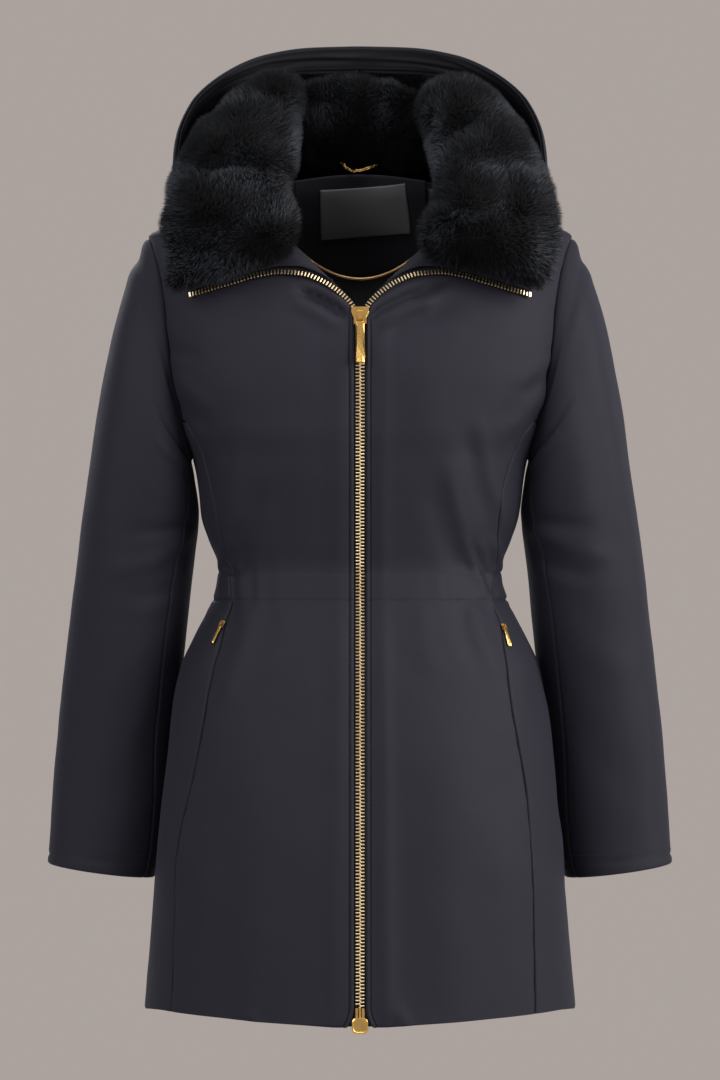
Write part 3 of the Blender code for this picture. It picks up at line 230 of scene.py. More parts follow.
BACK_CREASES = (
    (-182, -120, -120, -190, 9.0, 2.2, 6), (-176, -152, -104, -250, 11.0, -2.2, 9),
    (-168, -190, -118, -300, 9.0, 2.0, 6), (184, -112, 118, -176, 9.0, 2.0, -6),
    (178, -146, 98, -236, 12.0, -2.4, -9), (166, -196, 112, -290, 10.0, 2.2, -6),
    (-96, -245, -108, -346, 9.0, 2.2, 4), (-62, -262, -70, -346, 8.0, -2.0, 2),
    (-30, -250, -34, -346, 10.0, 2.0, 2), (8, -270, 10, -346, 8.0, -1.8, 0), (44, -255, 48, -346, 9.0, 2.2, -2),
    (82, -262, 92, -346, 8.0, -2.0, -3), (112, -270, 126, -346, 8.0, 2.2, -3),
    (-110, -376, -138, -560, 12.0, -2.8, -8), (-72, -376, -88, -620, 16.0, 3.2, -6),
    (-34, -376, -42, -560, 12.0, -2.4, -3), (4, -376, 2, -640, 16.0, 2.6, 3),
    (40, -376, 50, -570, 12.0, -2.6, 4), (78, -376, 98, -630, 16.0, 3.2, 6),
    (118, -376, 148, -560, 12.0, -2.4, 8), (-150, -470, -164, -782, 24.0, 3.0, -6),
    (-96, -540, -110, -782, 26.0, -2.6, -4), (-20, -520, -26, -782, 30.0, 2.8, 4),
    (62, -540, 70, -782, 28.0, -2.6, 4), (140, -500, 158, -782, 26.0, 3.0, 6),
    (-120, -30, -40, -44, 14.0, 1.6, -5), (118, -26, 44, -46, 13.0, 1.5, 5),
    (-60, -96, 64, -104, 22.0, -1.4, 6), (-15, -50, -1, -58, 2.2, 1.8, 0), (15, -52, 0, -58, 2.4, 1.8, 0),
)


def group_with(name, inputs, outputs, system="Shader"):
    """A node group with these inputs and outputs, and its two end nodes."""
    group = bpy.data.node_groups.new(name, system + "NodeTree")
    for way, sockets in (("INPUT", inputs), ("OUTPUT", outputs)):
        for label, kind in sockets:
            group.interface.new_socket(name=label, in_out=way, socket_type="NodeSocket" + kind)
    return group, group.nodes.new("NodeGroupInput"), group.nodes.new("NodeGroupOutput")


def speckle(tree, place, **given):
    """A noise over the surface."""
    speckled = add(tree, "ShaderNodeTexNoise", **given)
    wire(tree, (place, speckled.inputs["Vector"]))
    return speckled


def mixed_colour(tree, share, dark, light):
    """A blend of two colours, each one a socket or plain values."""
    blend = add(tree, "ShaderNodeMix", data_type="RGBA")
    wire(tree, (share, blend.inputs[0]))
    for socket, colour in ((blend.inputs[6], dark), (blend.inputs[7], light)):
        if isinstance(colour, tuple):
            socket.default_value = (*colour, 1)
        else:
            wire(tree, (colour, socket))
    return blend.outputs[2]


def grained_roughness(tree, grain, swing, least):
    """A roughness that rises with the grain from its least value."""
    rough = add(tree, "ShaderNodeMath", operation="MULTIPLY_ADD")
    rough.inputs[1].default_value = swing
    wire(tree, (grain, rough.inputs[0]), (least, rough.inputs[2]))
    return rough.outputs[0]


def weave_group():
    """Diagonal ribs with a slub: a colour, a roughness and a normal, for any woven cloth."""
    group, given, made = group_with(
        "weave",
        (("Vector", "Vector"), ("Ribs", "Float"), ("Light", "Color"), ("Dark", "Color"), ("Relief", "Float"),
         ("Smooth", "Float")),
        (("Color", "Color"), ("Roughness", "Float"), ("Normal", "Vector")),
    )
    place = given.outputs["Vector"]
    scaled = add(group, "ShaderNodeVectorMath", operation="SCALE")
    ribs = add(group, "ShaderNodeTexWave", bands_direction="DIAGONAL", Scale=0.42, Distortion=0.9, Detail=1.0)
    slub = speckle(group, place, Scale=420.0, Detail=3.0).outputs[0]
    cloud = speckle(group, place, Scale=14.0, Detail=2.0).outputs[0]

    def mixed(first, second, share):
        blend = add(group, "ShaderNodeMix")
        blend.inputs[0].default_value = share
        wire(group, (first, blend.inputs[2]), (second, blend.inputs[3]))
        return blend.outputs[0]

    relief = mixed(ribs.outputs["Fac"], slub, 0.45)
    colour = mixed_colour(group, mixed(relief, cloud, 0.3), given.outputs["Dark"], given.outputs["Light"])
    bump = add(group, "ShaderNodeBump", Distance=0.00025)
    wire(
        group, (place, scaled.inputs[0]), (given.outputs["Ribs"], scaled.inputs["Scale"]),
        (scaled.outputs[0], ribs.inputs["Vector"]), (colour, made.inputs["Color"]),
        (grained_roughness(group, slub, 0.14, given.outputs["Smooth"]), made.inputs["Roughness"]),
        (given.outputs["Relief"], bump.inputs["Strength"]), (relief, bump.inputs["Height"]),
        (bump.outputs[0], made.inputs["Normal"]),
    )
    return group


def grouped_finish(name, group, where, **values):
    """A material whose colour, roughness and normal come from a group, laid out by the `where` socket."""
    made, tree, shader = new_finish(name)
    shown = add(tree, "ShaderNodeGroup", node_tree=group)
    set_on(shown, **values)
    wire(
        tree, (where(tree), shown.inputs["Vector"]), (shown.outputs["Color"], shader.inputs["Base Color"]),
        (shown.outputs["Roughness"], shader.inputs["Roughness"]),
        (shown.outputs["Normal"], shader.inputs["Normal"]),
    )
    return made, shader


def cloth_finish(name, light, dark, ribs, relief, smooth_from, sheen, sheen_tint):
    """A woven cloth's material: the weave follows the piece's own cut."""
    made, shader = grouped_finish(
        name, weave, lambda tree: add(tree, "ShaderNodeUVMap", uv_map="UVMap").outputs[0],
        Ribs=ribs, Light=(*light, 1), Dark=(*dark, 1), Relief=relief, Smooth=smooth_from,
    )
    set_on(shader, Specular_IOR_Level=0.2, Sheen_Weight=sheen, Sheen_Roughness=0.45)
    set_on(shader, Sheen_Tint=(*sheen_tint, 1))
    return made


def smooth(table, column, at):
    """A monotone cubic through a table's column, read against its first."""
    keys, values = table[:, 0], table[:, column]
    step = np.diff(keys)
    slope = np.diff(values) / step
    tangent = np.zeros_like(values)
    tangent[0], tangent[-1] = slope[0], slope[-1]
    for i in range(1, len(keys) - 1):
        if slope[i - 1] * slope[i] > 0:
            before = 2 * step[i] + step[i - 1]
            after = step[i] + 2 * step[i - 1]
            tangent[i] = (before + after) / (before / slope[i - 1] + after / slope[i])
    at = np.clip(np.asarray(at, float), keys[0], keys[-1])
    cell = np.clip(np.searchsorted(keys, at, side="right") - 1, 0, len(step) - 1)
    t = (at - keys[cell]) / step[cell]
    start = (1 + 2 * t) * (1 - t) ** 2 * values[cell] + t * (1 - t) ** 2 * step[cell] * tangent[cell]
    end = t * t * (3 - 2 * t) * values[cell + 1] + t * t * (t - 1) * step[cell] * tangent[cell + 1]
    return start + end


def read_row(table, at):
    """All the columns of a table after its first, read at one place."""
    return [float(smooth(table, column, at)) for column in range(1, table.shape[1])]


def bell(distance, wide):
    return np.exp(-((distance / wide) ** 2))


def valley(distance, deep, wide):
    return -deep * bell(distance, wide)


def unit(vectors):
    return vectors / np.linalg.norm(vectors, axis=-1, keepdims=True)


def section(height):
    """The body's half width, depth to the front and to the back, and squareness at a height."""
    return read_row(TORSO, height)


def level(height, turns, side=1.0):
    """Points of the body at one height: turn 0 is the centre front, a half turn the centre back."""
    half_width, front, back, squareness = section(height)
    edges = ((height - CHANNEL_BOTTOM_Z) / 3 + 0.5, (CHANNEL_TOP_Z - height) / 3 + 0.5)
    swell = 1 + PLEAT_RELIEF * np.clip(min(edges), 0, 1) / half_width
    across, along = np.sin(turns), np.cos(turns)
    x = swell * half_width * np.sign(across) * np.abs(across) ** (2 / squareness)
    y = -swell * np.where(along > 0, front, back) * np.sign(along) * np.abs(along) ** (2 / squareness)
    return np.stack((side * x, y, np.full_like(x, height)), axis=-1)


def turn_of(height, out):
    """How far round the body a point this far out lies."""
    half_width, _, _, squareness = section(height)
    return math.asin(min(1.0, (abs(out) / half_width) ** (squareness / 2)))


def armhole(angle):
    """The armhole seam of the left side: 0 at the shoulder, a half turn at the underarm, front first."""
    height = (SHOULDER_END_Z + UNDERARM_Z + (SHOULDER_END_Z - UNDERARM_Z) * math.cos(angle)) / 2
    half_width, front, rear, squareness = section(height)
    reach = ARMHOLE_HALF_DEPTH * math.sin(angle)
    out = half_width * (1 - (abs(reach) / (front if reach > 0 else rear)) ** squareness) ** (1 / squareness)
    return np.array((out, -reach, height))


def armhole_turn(height, front=True):
    """How far round the body the armhole lies at this height."""
    share = (2 * height - SHOULDER_END_Z - UNDERARM_Z) / (SHOULDER_END_Z - UNDERARM_Z)
    point = armhole(math.acos(np.clip(share, -1, 1)) * (1 if front else -1))
    _, depth, rear, squareness = section(height)
    turn = math.acos(min(1.0, abs(point[1]) / (depth if front else rear)) ** (squareness / 2))
    return turn if front else math.pi - turn


def front_edge(height):
    """How far from the centre the front's edge lies: on the roll line, at the zip, or flared at the hem."""
    if height > SLIDER_Z:
        return float(smooth(ROLL, 1, height))
    flare = np.clip((FLARE_TOP_Z - height) / (FLARE_TOP_Z - HEM_Z), 0, 1) ** 2
    return FRONT_EDGE_X + (HEM_EDGE_X - FRONT_EDGE_X) * float(flare)


def lengths_along(line):
    return np.concatenate([[0], np.cumsum(np.linalg.norm(np.diff(line, axis=0), axis=1))])


def read_at(marks, lengths, data):
    """Points or directions given along a line, read at these marks."""
    return np.stack([np.interp(marks, lengths, data[:, axis]) for axis in range(3)], axis=1)


def at_marks(line, marks):
    """Points of a line at these distances from its start."""
    return read_at(marks, lengths_along(line), line)


# Distances from a seam, and from the zip's edge, at which a panel has a column of points.
SEAM_MARKS = np.array((0.0, 0.45, 1.0, 1.8, 2.9, 4.6))
PLACKET_MARKS = np.array((0.0, 0.5, 1.1, 1.9, 2.8, 3.6, 4.1, 4.5, 4.9, 5.4, 6.2, 7.6, 10.0))
SEAM_OVERLAP = 0.06


def marks_across(length, count, first=SEAM_MARKS):
    """Distances across a panel: close together beside its two edges, even between them, a little past both."""
    room = max(length + 2 * SEAM_OVERLAP, 0.5)
    tight = min(1.0, room / (3.2 * (first[-1] + SEAM_MARKS[-1])))
    near, far = first * tight, room - SEAM_MARKS[::-1] * tight
    return np.concatenate([near, np.linspace(near[-1], far[0], count)[1:-1], far]) - SEAM_OVERLAP


def creased(across, height, creases):
    """How far the cloth stands out or in there: creases are soft ridges and troughs that fade at their ends."""
    total = np.zeros_like(across)
    for x0, z0, x1, z1, wide, deep, bow in creases:
        long = math.hypot(x1 - x0, z1 - z0)
        ux, uz = (x1 - x0) / long, (z1 - z0) / long
        t = ((across - x0) * ux + (height - z0) * uz) / long
        off = (across - x0) * uz - (height - z0) * ux - bow * np.sin(math.pi * np.clip(t, 0, 1))
        fade = np.clip(np.minimum(t + 0.18, 1.18 - t) / 0.36, 0, 1)
        across_it = bell(off, wide) - 0.35 * bell(off - 1.9 * wide, 1.3 * wide)
        total += deep * fade * fade * (3 - 2 * fade) * across_it
    return total


def unevenness(points, size, seed):
    """A slow wander, from -1 to 1, over distances of about `size`."""
    shift = Vector((seed * 7.3, seed * 3.1, seed * 5.7))
    flat = points.reshape(-1, 3) / size
    return np.array([noise.noise(Vector(p) + shift) for p in flat]).reshape(points.shape[:-1])


def gathers(around, height, strength):
    """The little tucks above and below the drawcord's channel, and its padded look between its stitches."""
    wave = np.array([noise.noise(Vector((s / 30, 4.2, 0))) for s in around.ravel()]).reshape(around.shape)
    tucks = np.sin(around * (2 * math.pi / 15.5) + 7 * wave) * (0.55 + 0.9 * np.abs(wave))
    above = np.exp(-np.abs(height - CHANNEL_TOP_Z) / 11)
    below = np.exp(-np.abs(height - CHANNEL_BOTTOM_Z) / 11)
    out = strength * tucks * np.maximum(above, below)
    for row in CHANNEL_ROWS:
        out = out - (0.5 + 0.5 * strength) * bell(height - row, 1.2) * (1 + 0.5 * tucks)
    middle = (height - CHANNEL_MIDDLE_Z) / ((CHANNEL_TOP_Z - CHANNEL_BOTTOM_Z) / 2)
    return out + np.clip(1 - middle**2, 0, 1) * (0.3 + strength * (0.3 + 0.8 * tucks))


def seam_dip(distance):
    """How a sewn seam draws the cloth in: a soft valley with a sharp line at its bottom."""
    return valley(distance, 1.0, 1.4) + valley(distance, 1.3, 0.5)


def off_channel(grid):
    """Small over the waist's channel and 1 away from it, since its padding keeps a seam from dipping."""
    return np.clip(np.abs(grid[..., 2] - CHANNEL_MIDDLE_Z) / 14 - 0.7, 0.15, 1)


def outward(grid, flip):
    """Unit normals of a grid of points, on the panel's outer side."""
    normal = np.cross(np.gradient(grid, axis=1), np.gradient(grid, axis=0))
    normal /= np.maximum(np.linalg.norm(normal, axis=2, keepdims=True), 1e-9)
    return -normal if flip else normal


def faces_back(grid, row, column):
    return outward(grid, False)[row, column, 1] > 0


def edge_distances(grid):
    """Each point's distance along its row from the row's first and from its last point."""
    step = np.linalg.norm(np.diff(grid, axis=1), axis=2)
    u = np.concatenate([np.zeros((len(grid), 1)), np.cumsum(step, axis=1)], axis=1)
    return u, u[:, -1:] - u


def grid_mesh(name, grid, flip, materials, turned_rows=0):
    """A sheet of quads through a grid of points, with a map in metres along and across the cut."""
    rows, count = grid.shape[:2]
    index = np.arange(rows * count).reshape(rows, count)
    quads = np.stack((index[:-1, :-1], index[:-1, 1:], index[1:, 1:], index[1:, :-1]), axis=-1).reshape(-1, 4)
    if flip:
        quads = quads[:, ::-1]
    mesh = bpy.data.meshes.new(name)
    mesh.from_pydata((grid.reshape(-1, 3) * MM).tolist(), [], quads.tolist())
    middle = count // 2
    u = edge_distances(grid)[0]
    u -= u[:, middle : middle + 1]
    v = lengths_along(grid[:, middle])[:, None] * np.ones((1, count))
    flat = np.stack((u, v), axis=-1).reshape(-1, 2) * MM
    corners = np.empty(len(mesh.loops), np.int32)
    mesh.loops.foreach_get("vertex_index", corners)
    mesh.uv_layers.new(name="UVMap").data.foreach_set("uv", flat[corners].ravel().astype(np.float32))
    for material in materials:
        mesh.materials.append(material)
    row_of = np.repeat(np.arange(rows - 1), count - 1)
    mesh.polygons.foreach_set("material_index", np.where(row_of < turned_rows, 2, 0).astype(np.int32))
    mesh.shade_smooth()
    mesh.update()
    return mesh


def dressed(made, slot, *nodes):
    """The piece stands in for these CAD nodes and rides on the coat. Its slot is not used."""
    if nodes:
        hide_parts(*nodes)
    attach(made, "coat")
    return made


weave = weave_group()
shell_cloth = cloth_finish("shell_twill", SHELL_LIGHT, SHELL_DARK, TWILL_RIBS, 0.35, 0.6, 0.05,
                           (0.62, 0.6, 0.75))
lining_cloth = cloth_finish("black_taffeta", LINING_LIGHT, LINING_DARK, TAFFETA_RIBS, 0.2, 0.5, 0.05,
                            (0.6, 0.6, 0.65))
# A panel's outer face, its lining, its turned hem and its rims.
COAT_CLOTHS = (shell_cloth, lining_cloth, shell_cloth, shell_cloth)
panels = {}


def sewn_panel(name, grid, lift, nodes, flip=False, wall=SHELL_WALL,
               cloths=COAT_CLOTHS, turned_rows=0, slot="shell_cloth"):
    """One cut piece of the coat: its shape with its creases, its wall, and what it stands for."""
    shaped = grid + lift[..., None] * outward(grid, flip)
    panels[name] = (shaped, outward(shaped, flip))
    made = placed(name, grid_mesh(name, shaped, flip, cloths, turned_rows))
    thickness = made.modifiers.new("wall", "SOLIDIFY")
    thickness.thickness, thickness.offset, thickness.material_offset = wall * MM, -1, 1
    dressed(made, slot, *nodes)
    return made


BODY_HEIGHTS = np.unique(np.round(np.concatenate((
    (-782, -781.3, -780.3, -779, -777), np.arange(-774, -386, 5.6), np.arange(-386, -336, 1.5),
    np.arange(-335, -236, 4.6), (-235, -234.7, -234, -233, -231.6, -229.6, -199, -98),
    np.arange(-227, -24, 4.4),
    (-21.6, -19.2, -17.2, -15.6, -14.4, -13.6, -13.2), np.arange(-13, 38.1, 1.5), (38,),
)), 2))
FRONT_COLUMNS, SIDE_COLUMNS, BACK_COLUMNS, FINE_TURNS = 33, 9, 84, 120


def body_row(height, start, end, side, count, first=SEAM_MARKS):
    """A panel's row of points at one height, following the hem's rise near the hem."""
    line = level(height, np.linspace(start, end, FINE_TURNS), side)
    row = at_marks(line, marks_across(lengths_along(line)[-1], count, first))
    fade = max(0.0, (HEM_RISE_TO_Z - height) / (HEM_RISE_TO_Z - HEM_Z))
    row[:, 2] += fade * smooth(HEM, 1, np.abs(row[:, 0]))
    return row


def body_lift(grid, creases, around, strength, *wanders):
    """The creases of a body panel, its wandering surface, and the dips along its channel and hem."""
    x, z = grid[..., 0], grid[..., 2]
    lift = creased(x, z, creases)
    for deep, size, seed in wanders:
        lift += deep * unevenness(grid, size, seed)
    return lift + gathers(around, z, strength) - 1.3 * bell(z - HEM_Z, 1.4)


def front_lift(grid, seed):
    x = grid[..., 0]
    strength = 0.16 + 0.85 * np.clip((np.abs(x) - 55) / 70, 0, 1)
    return body_lift(grid, FRONT_CREASES, x * 1.12, strength, (0.9, 70, seed), (0.3, 24, seed + 3))


for side, sign in SIDES.items():
    rows, side_rows = [], []
    for height in BODY_HEIGHTS:
        start = turn_of(height, front_edge(height))
        seam_turn = turn_of(height, float(smooth(PRINCESS[side], 1, height)))
        if height <= PRINCESS_TOP_Z:
            end = seam_turn
            beyond = math.pi / 2 if height <= UNDERARM_Z else armhole_turn(height)
            side_rows.append(body_row(height, seam_turn, beyond, sign, SIDE_COLUMNS))
        else:
            end = armhole_turn(height) if height < SHOULDER_END_Z else math.pi / 2
        rows.append(body_row(height, start, end, sign, FRONT_COLUMNS, PLACKET_MARKS))
    grid = np.array(rows)
    lift = front_lift(grid, 1 if side == "left" else 2)
    from_zip, from_seam = edge_distances(grid)
    below = np.clip((-90 - grid[..., 2]) / 14, 0, 1)
    lip = 0.6 * bell(from_zip - 2.0, 1.3) - 0.9 * bell(from_zip, 0.6)
    lip = lip + valley(from_zip - 8.5, 1.0 if side == "left" else 0.2, 3.6)
    lip = lip + valley(from_zip - PLACKET_STITCH, 1.5, 0.8)
    lift += below * lip - (1 - below) * 0.8 * bell(from_zip, 1.2)
    puckers = 0.35 + 0.3 * np.sin(grid[..., 2] / 5.2 + 3 * unevenness(grid, 30, 9))
    lift += (seam_dip(from_seam) + valley(from_seam, 1.0, 5.5) * puckers) * off_channel(grid)
    sewn_panel(f"front_centre_{side}_cloth", grid, lift, [f"front_centre_{side}"],
               flip=side == "right", turned_rows=HEM_TURN_ROWS)
    grid = np.array(side_rows)
    from_princess, from_side = edge_distances(grid)
    lift = front_lift(grid, 5 if side == "left" else 6)
    lift = lift + seam_dip(from_princess) * off_channel(grid) + seam_dip(from_side)
    for row in CHANNEL_ROWS:
        lift -= 1.5 * bell(grid[..., 2] - row, 1.8)
    sewn_panel(f"front_side_{side}_cloth", grid, lift, [f"front_side_{side}"],
               flip=side == "right", turned_rows=HEM_TURN_ROWS)

rows = []
for height in BODY_HEIGHTS:
    start = armhole_turn(height, front=False) if UNDERARM_Z < height < SHOULDER_END_Z else math.pi / 2
    line = level(height, np.linspace(start, 2 * math.pi - start, 4 * FINE_TURNS))
    row = at_marks(line, marks_across(lengths_along(line)[-1], BACK_COLUMNS))
    rise = BACK_NECK_LIFT * max(0.0, (height + 4) / (NECK_SIDE_Z + 4))
    row[:, 2] += rise * np.clip(1 - (row[:, 0] / NECK_HALF_WIDTH) ** 2, 0, 1)
    rows.append(row)
grid = np.array(rows)
lift = body_lift(grid, BACK_CREASES, grid[..., 0] * 1.1 + 400, 0.95, (1.1, 80, 11), (0.3, 26, 12))
one, other = edge_distances(grid)
lift += seam_dip(one) + seam_dip(other)
sewn_panel("back_cloth", grid, lift, ["back"],
           turned_rows=HEM_TURN_ROWS)


# ---------------------------------------------------------------- the sleeves
# Each is cut in two, a wide top and a narrow under sleeve, set into the armhole with a little
# ease and turned up at the cuff, where one row of stitches holds a hem that deepens inwards.
# outer x, outer z, inner x, inner z, half depth, middle y, degrees to the front seam and to the rear seam
SLEEVE = np.array((
    (223.0, -37, 168.0, -241, 67.0, 0, 160, 138), (236.5, -66, 166.2, -249, 70.5, 1, 156, 130),
    (246.0, -97, 165.0, -257, 73.0, 2, 154, 129), (253.5, -130, 163.6, -266, 74.5, 4, 152, 128),
    (261.0, -166, 162.4, -276, 75.0, 7, 150, 127), (268.5, -208, 161.6, -287, 74.5, 10, 148, 126),
    (276.0, -256, 162.6, -303, 73.0, 14, 145, 125), (283.5, -306, 165.6, -327, 70.0, 19, 140, 124),
    (289.5, -354, 170.0, -364, 67.0, 24, 136, 123), (295.0, -402, 175.5, -413, 64.0, 30, 134, 123),
    (300.5, -452, 181.5, -464, 61.0, 36, 135, 123), (306.5, -510, 190.0, -523, 57.0, 41, 138, 124),
    (311.5, -570, 194.5, -583, 53.0, 45, 141, 125), (314.0, -613, 201.0, -628, 49.0, 46, 145, 126),
    (315.6, -641.5, 208.0, -656, 47.0, 46, 147, 126),
))
SLEEVE = np.column_stack((np.linspace(0, 1, len(SLEEVE)), SLEEVE))
SLEEVE_LONG, CUFF_SHALLOW, CUFF_DEEP, SEAM_TUCK = 620.0, 15.0, 25.0, 3.5
SLEEVE_TOP_ROWS, SLEEVE_ROWS, SLEEVE_TURNED_ROWS, RING_POINTS = 9, 112, 12, 200
MM_PER_DEGREE = 1.05
# Creases in degrees round the sleeve (0 outside, 90 the front, 180 inside) and millimetres down it.
SLEEVE_CREASES = {
    "left": (
        (48, 20, 40, 380, 17.0, 2.0, 6), (20, -10, 26, 240, 16.0, -1.0, 4), (78, 60, 62, 330, 15.0, -1.3, -4),
        (150, 20, 96, 96, 9.0, -2.4, 5), (152, 60, 104, 140, 9.0, 2.0, 5), (148, 250, 84, 296, 8.0, -2.0, 6),
        (150, 276, 70, 330, 9.0, 2.0, 8), (146, 318, 92, 346, 7.0, -1.8, 4), (120, 380, 60, 440, 16.0, 1.3, 6),
        (130, 450, 70, 520, 18.0, -1.2, 6), (40, 470, 58, 590, 16.0, 1.2, 4), (-30, 40, -36, 300, 18.0, 2.0, 6),
        (-70, 60, -78, 260, 15.0, -1.8, 5), (-100, 262, -44, 300, 9.0, -2.4, -6),
        (-104, 292, -40, 330, 10.0, 2.6, -8), (-100, 330, -56, 352, 8.0, -2.2, -5),
        (-60, 400, -90, 560, 18.0, 1.8, 6), (-116, 60, -90, 150, 11.0, 2.0, 4),
    ),
    "right": (
        (44, 10, 52, 330, 18.0, 1.6, 5), (14, 10, 20, 260, 16.0, -1.2, -4), (84, 40, 70, 300, 16.0, -1.2, -4),
        (152, 26, 100, 84, 9.0, -2.2, 4), (150, 64, 108, 150, 10.0, 1.8, 5), (150, 262, 88, 300, 8.0, -1.8, 6),
        (150, 292, 78, 342, 9.0, 1.8, 8), (140, 352, 92, 366, 7.0, -1.5, 3), (112, 400, 58, 470, 17.0, 1.4, 6),
        (136, 470, 84, 530, 17.0, -1.1, 5), (30, 440, 40, 590, 17.0, 1.3, 4), (-34, 50, -30, 280, 18.0, 1.8, 6),
        (-74, 70, -70, 270, 15.0, -1.6, 5), (-102, 270, -50, 306, 9.0, -2.2, -6),
        (-104, 300, -46, 342, 10.0, 2.4, -8), (-100, 344, -60, 362, 8.0, -2.0, -5),
        (-64, 420, -84, 570, 18.0, 1.6, 6), (-118, 56, -94, 140, 11.0, 1.8, 4),
    ),
}


def sleeve_ring(share, angles, sign):
    """Points round the sleeve: share 0 is the first ring past the armhole and 1 the cuff's edge."""
    outer_x, outer_z, inner_x, inner_z, depth, back = read_row(SLEEVE, share)[:6]
    cos, sin = np.cos(angles), np.sin(angles)
    x = (outer_x + inner_x) / 2 + (outer_x - inner_x) / 2 * cos
    z = (outer_z + inner_z) / 2 + (outer_z - inner_z) / 2 * cos
    return np.stack((sign * x, back - depth * sin, z), axis=1)


def sleeve_head(angles, sign, ease):
    """The armhole seam, moved past it the way the cloth runs on into the sleeve."""
    slope = math.atan2(SHOULDER_END_Z - NECK_SIDE_Z, section(SHOULDER_END_Z)[0] - section(NECK_SIDE_Z)[0])
    over, under = np.array((math.cos(slope), 0.0, math.sin(slope))), np.array((1.0, 0.0, -0.6))
    share = ((1 - np.cos(angles)) / 2)[:, None]
    onward = unit(over * (1 - share) + under * share)
    mirror = (sign, 1, 1)
    return (np.array([armhole(angle) for angle in angles]) + ease * onward) * mirror, onward * mirror


def top_seams(share):
    """Where the top sleeve starts and ends round the sleeve, in degrees: behind and in front."""
    if share < 0:
        return -140.0, 160.0
    return -float(smooth(SLEEVE, 8, share)), float(smooth(SLEEVE, 7, share))


def under_seams(share):
    rear, front = top_seams(share)
    return front, rear + 360


def sleeve_grid(sign, seams, count):
    """Rows from the armhole down to the cuff, and each point's angle and distance down."""
    def angles_at(share):
        start, end = seams(share)
        return np.radians(start + (end - start) * np.linspace(0, 1, RING_POINTS))

    head_angles, ring_angles = angles_at(-1), angles_at(0)
    seam_line, onward = sleeve_head(head_angles, sign, 0.6)
    ring = sleeve_ring(0, ring_angles, sign)
    run = (sleeve_ring(0.03, ring_angles, sign) - ring) / 0.03 * 0.05
    reach = np.linalg.norm(ring - seam_line, axis=1, keepdims=True)
    inside = unit((seam_line - (0, 0, (SHOULDER_END_Z + UNDERARM_Z) / 2)) * (0, 1, 1))
    tucked = seam_line - SEAM_TUCK * onward - 2.4 * inside
    rows = [(tucked, head_angles, -float(reach.mean()) - SEAM_TUCK)]
    for t in np.arange(SLEEVE_TOP_ROWS) / SLEEVE_TOP_ROWS:
        line = (2 * t**3 - 3 * t**2 + 1) * seam_line + (t**3 - 2 * t**2 + t) * onward * reach
        line = line + (3 * t**2 - 2 * t**3) * ring + (t**3 - t**2) * run * np.minimum(1, reach / 30)
        rows.append((line, (1 - t) * head_angles + t * ring_angles, -(1 - t) * float(reach.mean())))
    near_edge = (0.989, 0.992, 0.9945, 0.9965, 0.998, 0.9992, 1.0)
    for share in np.concatenate((np.linspace(0, 0.985, SLEEVE_ROWS), near_edge)):
        rows.append((sleeve_ring(share, angles_at(share), sign), angles_at(share), share * SLEEVE_LONG))
    grid, turned, fall = [], [], []
    for line, angles, distance in rows[::-1]:
        lengths = lengths_along(line)
        marks = marks_across(lengths[-1], count)
        grid.append(at_marks(line, marks))
        turned.append(np.degrees(np.interp(marks, lengths, angles)))
        fall.append(np.full(len(marks), distance))
    return np.array(grid), np.array(turned), np.array(fall)


for side, sign in SIDES.items():
    creases = [(a * MM_PER_DEGREE, down, b * MM_PER_DEGREE, *rest)
               for a, down, b, *rest in SLEEVE_CREASES[side]]
    for part, seams, count, flat, area in (
        ("top", top_seams, 60, (0.40, 0.70), 0.185), ("under", under_seams, 16, (0.14, 0.45), 0.040),
    ):
        grid, turned, fall = sleeve_grid(sign, seams, count)
        degrees, round_cos = np.where(turned > 190, turned - 360, turned), np.cos(np.radians(turned))
        lift = creased(degrees * MM_PER_DEGREE, fall, creases)
        lift += 0.8 * unevenness(grid, 60, 21 + sign) + 0.25 * unevenness(grid, 22, 25 + sign)
        one, other = edge_distances(grid)
        lift += seam_dip(one) + seam_dip(other)
        # The head's seam, its little puckers, and the crown's fall over the shoulder.
        past = fall - fall.min() - SEAM_TUCK
        puckers = np.cos(np.radians(turned) * 11 + 2) * 0.5 + 0.6
        lift = lift * np.clip(fall / 40 + 1, 0, 1) - 0.8 * bell(past, 1.6) - 0.45 * puckers * bell(past - 3, 7)
        for down, reach, out in ((14, 7, -1.2), (36, 15, 1.8), (350, 150, -2.6)):
            lift += out * np.clip(round_cos, 0, 1) * bell(past - down, reach)
        # The cuff: a stitched line, the fuller hem below it, and the turned edge.
        hem_line = SLEEVE_LONG - CUFF_SHALLOW - (CUFF_DEEP - CUFF_SHALLOW) * (1 - round_cos) / 2
        lift += valley(fall - hem_line, 1.0, 1.5) + 0.45 * np.clip((fall - hem_line) / 3, 0, 1)
        lift -= 1.2 * bell(SLEEVE_LONG - fall, 1.4)
        sewn_panel(f"sleeve_{part}_{side}_cloth", grid, lift, [f"sleeve_{part}_{side}"],
                   flip=side == "left", turned_rows=SLEEVE_TURNED_ROWS)


# ---------------------------------------------------------------- the hood
# Two shell halves joined down the middle, lying open behind the neck, with a turned facing
# stitched round the brim. It is lined with the same fur as the collar. The lapels' own line comes
# here, as the hood's last rows end on it.
# The facing twill, darker than the shell, is also put on the hood's inside as painted shade.
FACING_AND_SHADE_LIGHT, FACING_AND_SHADE_DARK = (0.0115, 0.0108, 0.0150), (0.0062, 0.0058, 0.0085)
# The brim twill is the shell's twill made about half as light: painted shade inside the hood's brim.
SHADED_BRIM_LIGHT, SHADED_BRIM_DARK = (0.0066, 0.0062, 0.0090), (0.0034, 0.0032, 0.0048)
